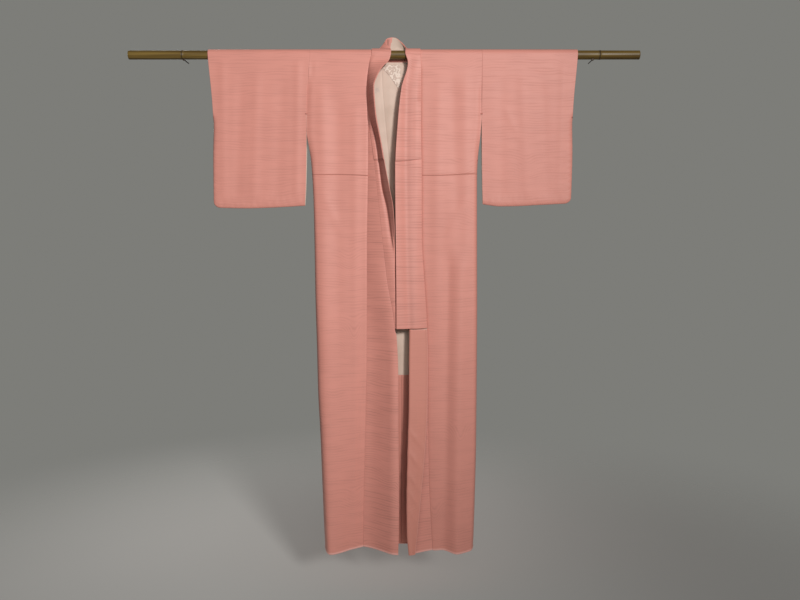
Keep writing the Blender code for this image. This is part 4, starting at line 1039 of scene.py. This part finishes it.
def collar():
    m = 26
    P, sides = collar_points(m)
    P = collar_creases(P, sides, m)
    lengths = np.concatenate([[0.0], np.cumsum(np.linalg.norm(np.diff(P[:, 12], axis=0), axis=1))])
    uu = np.linspace(0, 0.062, m)
    uv = np.stack(np.broadcast_arrays(uu[None, :] + 14.2, lengths[:, None]), axis=-1).reshape(-1, 2)
    F = quads_of(len(P), m)
    centre = P.reshape(-1, 3)[F].mean(axis=1)
    inside = np.where((centre[:, 2] > 0.012) & (centre[:, 0] > -0.002 - 0.25 * (0.050 - centre[:, 2])), 1, 0)  # the lining shows only round the back of the neck
    # seam: painted shade in the hollow of the nape loop, plus the painted collar shade
    low = shell("cloth_collar", P.reshape(-1, 3), F, uv, [SILK_FRONT, WHITE], 0.0010, None, inside, 0,
                seam=(1.5 * np.exp(-(((P[..., 0] + 0.0150 + 0.10 * (0.05 - P[..., 2])) / 0.0045) ** 2)) * ease((P[..., 2] - 0.014) / 0.008) * ease((0.056 - P[..., 2]) / 0.008) + painted_collar_shade(P, sides)).reshape(-1))
    # the over-collar lies on the collar and covers its upper part
    rows = np.where(P[:, 0, 2] >= -OVER_COLLAR_END)[0]
    Q = offset(P, np.full(P.shape[:2], 0.0019))[rows[0]:rows[-1] + 1]
    Q = catmull(Q, np.concatenate([[0.35, 0.7], np.arange(1, m - 1), [m - 1.0]]))
    Q[0, :, 2] = -OVER_COLLAR_END + along(((0.0, 0.0), (1.0, -0.001)), np.linspace(0, 1, Q.shape[1]))
    Q[-1, :, 2] = -OVER_COLLAR_END + along(((0.0, 0.005), (0.5, -0.001), (1.0, -0.006)), np.linspace(0, 1, Q.shape[1]))
    lengths = lengths[rows[0]:rows[-1] + 1]
    k = Q.shape[1]
    uv = np.stack(np.broadcast_arrays(np.linspace(0, 0.062, k)[None, :] + 16.3, lengths[:, None]), axis=-1).reshape(-1, 2)
    # painted shade along the over-collar's two ends, plus the painted collar shade
    ends = np.concatenate([np.arange(len(Q))[:, None] <= 0, ], axis=1) | (np.arange(len(Q))[:, None] >= len(Q) - 1)
    painted_shade_mark = (np.broadcast_to(ends, Q.shape[:2]) + painted_collar_shade(Q, sides[rows[0]:rows[-1] + 1])).reshape(-1)
    over = shell("cloth_over_collar", Q.reshape(-1, 3), quads_of(len(Q), k), uv, [SILK_FRONT], 0.0009, None, 0, 0, seam=painted_shade_mark)
    return low, over, Q


def lining_y(x, z):
    return back_surface(x, z) - LAYER - 0.0006


def lining(side, top, bottom, name, mats):
    edge = -1 if side == "right" else 1
    rows = np.linspace(top, bottom, max(8, int((top - bottom) / 0.009)))
    s = spread(0.26, 0.008)
    z, ss = np.meshgrid(rows, s, indexing="ij")
    outer = along(SIDE[side], z) - edge * 0.008
    seam = along(LINING_SEAM, z) if bottom > -1.2 else np.full(z.shape, HEM_SEAM_X)
    x = mix(outer, seam + edge * 0.0002, ss)
    d = np.abs(x - seam)
    y = lining_y(x, z) - np.maximum(creases(LINING_CREASES, x, z), -0.0004) + 0.0006 * np.exp(-((d / 0.003) ** 2))
    near = np.abs(x - along(SIDE[side], z))
    y = mix(0.0030, y, rounded(near - 0.004, 0.022) * ease((-z - SIDE_OPENING + 0.10) / 0.16) + 1 - ease((-z - SIDE_OPENING + 0.10) / 0.16))
    V = np.stack([x, y, z], axis=-1).reshape(-1, 3)
    uv = np.stack([x + 18.0, z], axis=-1).reshape(-1, 2)
    F = quads_of(len(rows), len(s), flip=(side == "right"))
    # seam: painted shade along the lining's middle seam; only the hem silk reads it
    return shell(name, V, F, uv, mats, 0.0005, None, 0, 0, seam=np.exp(-((d / 0.0016) ** 2)).reshape(-1) * 0.9)


def nape_patch():
    t = np.linspace(0, 1, 26)
    xs = np.linspace(-0.0365, 0.0240, 24)
    tt, x = np.meshgrid(t, xs, indexing="ij")
    low = along(((-0.0365, -0.0330), (-0.0065, -0.0680), (0.0080, -0.0885), (0.0240, -0.1080)), x)
    z = mix(-0.028, low, tt)
    y = lining_y(x, z) - 0.0014 - np.maximum(creases(LINING_CREASES, x, z), 0.0) - 0.0002 * ripple(x * 3, z * 3, 61)
    V = np.stack([x, y, z], axis=-1).reshape(-1, 3)
    uv = np.stack([x, z], axis=-1).reshape(-1, 2)
    F = quads_of(len(t), len(xs), flip=True)
    return shell("cloth_nape_patch", V, F, uv, [PATCH], 0.0004, None, 0, 0)


# ---- the pole, the nails and the stitching -----------------------------------------
def lathe(profile, steps, axis, origin):
    """Turns (radius, place) pairs round an axis, "x" or "y"."""
    verts, faces = [], []
    for r, h in profile:
        for s in range(steps):
            a = 2 * math.pi * s / steps
            c, d = r * math.cos(a), r * math.sin(a)
            p = (h, c, d) if axis == "x" else (c, h, d)
            verts.append(np.array(origin) + np.array(p))
    for k in range(len(profile) - 1):
        for s in range(steps):
            e = (s + 1) % steps
            quad = (k * steps + s, k * steps + e, (k + 1) * steps + e, (k + 1) * steps + s)
            faces.append(quad if axis == "x" else quad[::-1])
    first = tuple(range(steps))
    last = tuple((len(profile) - 1) * steps + s for s in range(steps))
    faces.append(first[::-1] if axis == "x" else first)
    faces.append(last if axis == "x" else last[::-1])
    return np.array(verts), faces


def pole():
    profile = [(0.0085, POLE_END_RIGHT + 0.018), (0.0092, POLE_END_RIGHT + 0.0006), (0.0096, POLE_END_RIGHT)]
    profile += [(POLE_R - 0.0009, POLE_END_RIGHT), (POLE_R - 0.0003, POLE_END_RIGHT + 0.0003), (POLE_R, POLE_END_RIGHT + 0.0011)]
    places = list(np.linspace(POLE_END_RIGHT + 0.006, POLE_END_LEFT - 0.006, 150))
    for c in POLE_NODES:
        places = [p for p in places if abs(p - c) > 0.011]
        places += [c + d * 0.001 for d in (-10, -7, -5, -3.5, -2.4, -1.6, -0.9, -0.3, 0.3, 0.9, 1.6, 2.4, 3.5, 5, 7, 10)]
    for p in sorted(places):
        r = POLE_R - 0.0003 * (0.5 + 0.5 * math.sin(p * 9.0))
        for c in POLE_NODES:
            r += NODE_SWELL * math.exp(-(((p - c - 0.0018) / 0.0022) ** 2)) + 0.6 * NODE_SWELL * math.exp(-(((p - c + 0.0030) / 0.0016) ** 2))
            r -= 0.0006 * math.exp(-(((p - c + 0.0005) / 0.0007) ** 2))
        profile.append((min(r, POLE_R + NODE_SWELL), p))
    profile += [(POLE_R, POLE_END_LEFT - 0.0011), (POLE_R - 0.0003, POLE_END_LEFT - 0.0003), (POLE_R - 0.0009, POLE_END_LEFT)]
    profile += [(0.0096, POLE_END_LEFT), (0.0092, POLE_END_LEFT - 0.0006), (0.0085, POLE_END_LEFT - 0.018)]
    v, f = lathe(profile, 48, "x", (0, 0, 0))
    return add_mesh("bamboo_pole", v, f, [BAMBOO])


def nail(side):
    low = -(POLE_R + SEAM_GAP + NAIL_R)
    L = NAIL_BACK - NAIL_FRONT
    profile = [(0.0004, L + 0.0003), (NAIL_HEAD_R * 0.7, L + 0.0001), (NAIL_HEAD_R * 0.95, L - 0.0003), (NAIL_HEAD_R, L - 0.0009),
               (NAIL_HEAD_R * 0.97, L - 0.0016), (NAIL_HEAD_R * 0.75, L - 0.0020), (NAIL_R * 1.15, L - 0.0026)]
    profile += [(NAIL_R * (1.06 if k % 2 else 0.96), L - 0.004 - 0.0011 * k) for k in range(8)]
    profile += [(NAIL_R, L - 0.016), (NAIL_R, 0.0004), (NAIL_R * 0.8, 0.0)]
    v, f = lathe([(r, -h) for r, h in profile], 24, "y", (NAIL_X[side], NAIL_BACK, low))
    return add_mesh("wire_nail_" + side, v, f, [STEEL])


def stitches(bodies):
    """Bar tacks at the ends of the wrist, armhole and side openings."""
    parts = []
    for side, edge in (("right", -1), ("left", 1)):
        x = along(SLEEVE_OUTER[side], np.array([-WRIST]))[0]
        for k in range(3):
            z = -WRIST + 0.0016 * k
            parts.append(tube([(x - edge * 0.0035, -0.0105 + 0.0006, z), (x - edge * 0.0010, -0.0128, z), (x + edge * 0.0004, -0.0090, z), (x + edge * 0.0004, 0.0090, z),
                               (x - edge * 0.0010, 0.0128, z), (x - edge * 0.0035, 0.0111, z)], 0.00045))
        x = along(SIDE[side], np.array([-ARMHOLE]))[0]
        for k in range(2):
            z = -ARMHOLE + 0.0014 * k
            parts.append(tube([(x + edge * 0.0035, -0.0160, z), (x + edge * 0.0005, -0.0172, z), (x - edge * 0.0030, -0.0150, z)], 0.00045))
        x = along(SIDE[side], np.array([-SIDE_OPENING]))[0]
        for k in range(2):
            z = -SIDE_OPENING + 0.0014 * k
            parts.append(tube([(x - edge * 0.0030, -0.0120, z), (x + edge * 0.0005, -0.0090, z), (x + edge * 0.0006, 0.0060, z), (x - edge * 0.0030, 0.0120, z)], 0.00045))
    v, f = join_parts(parts)
    return add_mesh("bar_tacks", v, f, [THREAD])


bodies = {side: body(side) for side in ("right", "left")}
sleeves = {side: sleeve(side) for side in ("right", "left")}
flap_right = overlap_right()
flap_left = overlap_left()
turned_facing = facing()
collar_piece, over_collar_piece, over_points = collar()
linings, hem_linings = {}, {}
for side in ("right", "left"):
    linings[side] = lining(side, -0.026, -LINING_END + 0.0002, "cloth_back_lining_" + side, [WHITE])
    hem_linings[side] = lining(side, -LINING_END - 0.0002, -GARMENT + 0.006, "cloth_hem_lining_" + side, [HEM])
patch = nape_patch()
rod = pole()
nails = {side: nail(side) for side in ("right", "left")}
tacks = stitches(bodies)

for side in ("right", "left"):
    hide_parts("body_" + side)
    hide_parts("sleeve_" + side)
    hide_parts("back_lining_" + side)
    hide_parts("hem_lining_" + side)
    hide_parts("nail_" + side)
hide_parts("overlap_right")
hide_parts("overlap_left")
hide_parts("facing_left")
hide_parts("collar")
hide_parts("over_collar")
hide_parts("nape_patch")
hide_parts("pole")


# ---- floor, light and camera -------------------------------------------------------
def floor():
    n = Nodes("floor")
    where, at = n.place()
    n.put(n.shader.inputs["Base Color"], n.blend(n.noise(where, scale=1.2), (0.62, 0.61, 0.585, 1.0), (0.66, 0.65, 0.625, 1.0)))
    set_shader(n, Roughness=0.85)
    far = n.math("SQRT", n.math("ADD", n.math("MULTIPLY", at[0], at[0]), n.math("MULTIPLY", at[1], at[1])))
    n.put(n.shader.inputs["Alpha"], n.math("SUBTRACT", 1.0, n.smooth(far, 0.9, 2.6)))
    steps = 64
    verts = [(2.7 * math.cos(2 * math.pi * k / steps), 2.7 * math.sin(2 * math.pi * k / steps), -1.80) for k in range(steps)]
    mesh = bpy.data.meshes.new("floor")
    mesh.from_pydata(verts, [], [tuple(range(steps))])
    mesh.materials.append(n.material)
    obj = bpy.data.objects.new("floor", mesh)
    bpy.context.scene.collection.objects.link(obj)


floor()


def area_light(name, place, target, size, power, colour):
    data = bpy.data.lights.new(name, "AREA")
    data.shape = "DISK"
    data.size = size
    data.energy = power
    data.color = colour
    obj = bpy.data.objects.new(name, data)
    obj.location = place
    obj.rotation_euler = (Vector(target) - Vector(place)).to_track_quat("-Z", "Y").to_euler()
    bpy.context.scene.collection.objects.link(obj)


def spot_light(name, place, target, radius, power, colour, angle):
    data = bpy.data.lights.new(name, "SPOT")
    data.shadow_soft_size = radius
    data.energy = power
    data.color = colour
    data.spot_size = math.radians(angle)
    data.spot_blend = 1.0
    obj = bpy.data.objects.new(name, data)
    obj.location = place
    obj.rotation_euler = (Vector(target) - Vector(place)).to_track_quat("-Z", "Y").to_euler()
    bpy.context.scene.collection.objects.link(obj)


FILL = 0.095
spot_light("key", (2.10, -5.65, 1.25), (-0.62, 0.0, -0.16), 0.48, 1200.0, (1.0, 0.985, 0.965), 40.0)
area_light("front", (0.3, -4.4, 0.3), (0.0, 0.0, -0.5), 2.0, 30.0, (1.0, 0.985, 0.965))
area_light("behind", (-2.0, 4.5, 1.4), (0.0, 0.0, -0.6), 2.5, 90.0, (1.0, 0.99, 0.97))

world = bpy.data.worlds.new("studio")
world.use_nodes = True
tree = world.node_tree
tree.nodes["Background"].inputs["Color"].default_value = (1.0, 0.985, 0.95, 1.0)
tree.nodes["Background"].inputs["Strength"].default_value = FILL
seen = tree.nodes.new("ShaderNodeBackground")  # the plain studio tone that the camera sees
seen.inputs["Color"].default_value = (0.205, 0.205, 0.190, 1.0)
path = tree.nodes.new("ShaderNodeLightPath")
both = tree.nodes.new("ShaderNodeMixShader")
tree.links.new(path.outputs["Is Camera Ray"], both.inputs[0])
tree.links.new(tree.nodes["Background"].outputs[0], both.inputs[1])
tree.links.new(seen.outputs[0], both.inputs[2])
tree.links.new(both.outputs[0], tree.nodes["World Output"].inputs["Surface"])
scene = bpy.context.scene
scene.world = world
scene.view_settings.view_transform = "Standard"

camera_data = bpy.data.cameras.new("camera")
camera_data.lens = 35.0
camera_data.sensor_width = 36.0
camera_data.dof.use_dof = False
camera = bpy.data.objects.new("camera", camera_data)
camera.location = (0.0234, -2.54, -0.595)
camera.rotation_euler = (math.radians(85.7), 0.0, 0.0)
scene.collection.objects.link(camera)
scene.camera = camera
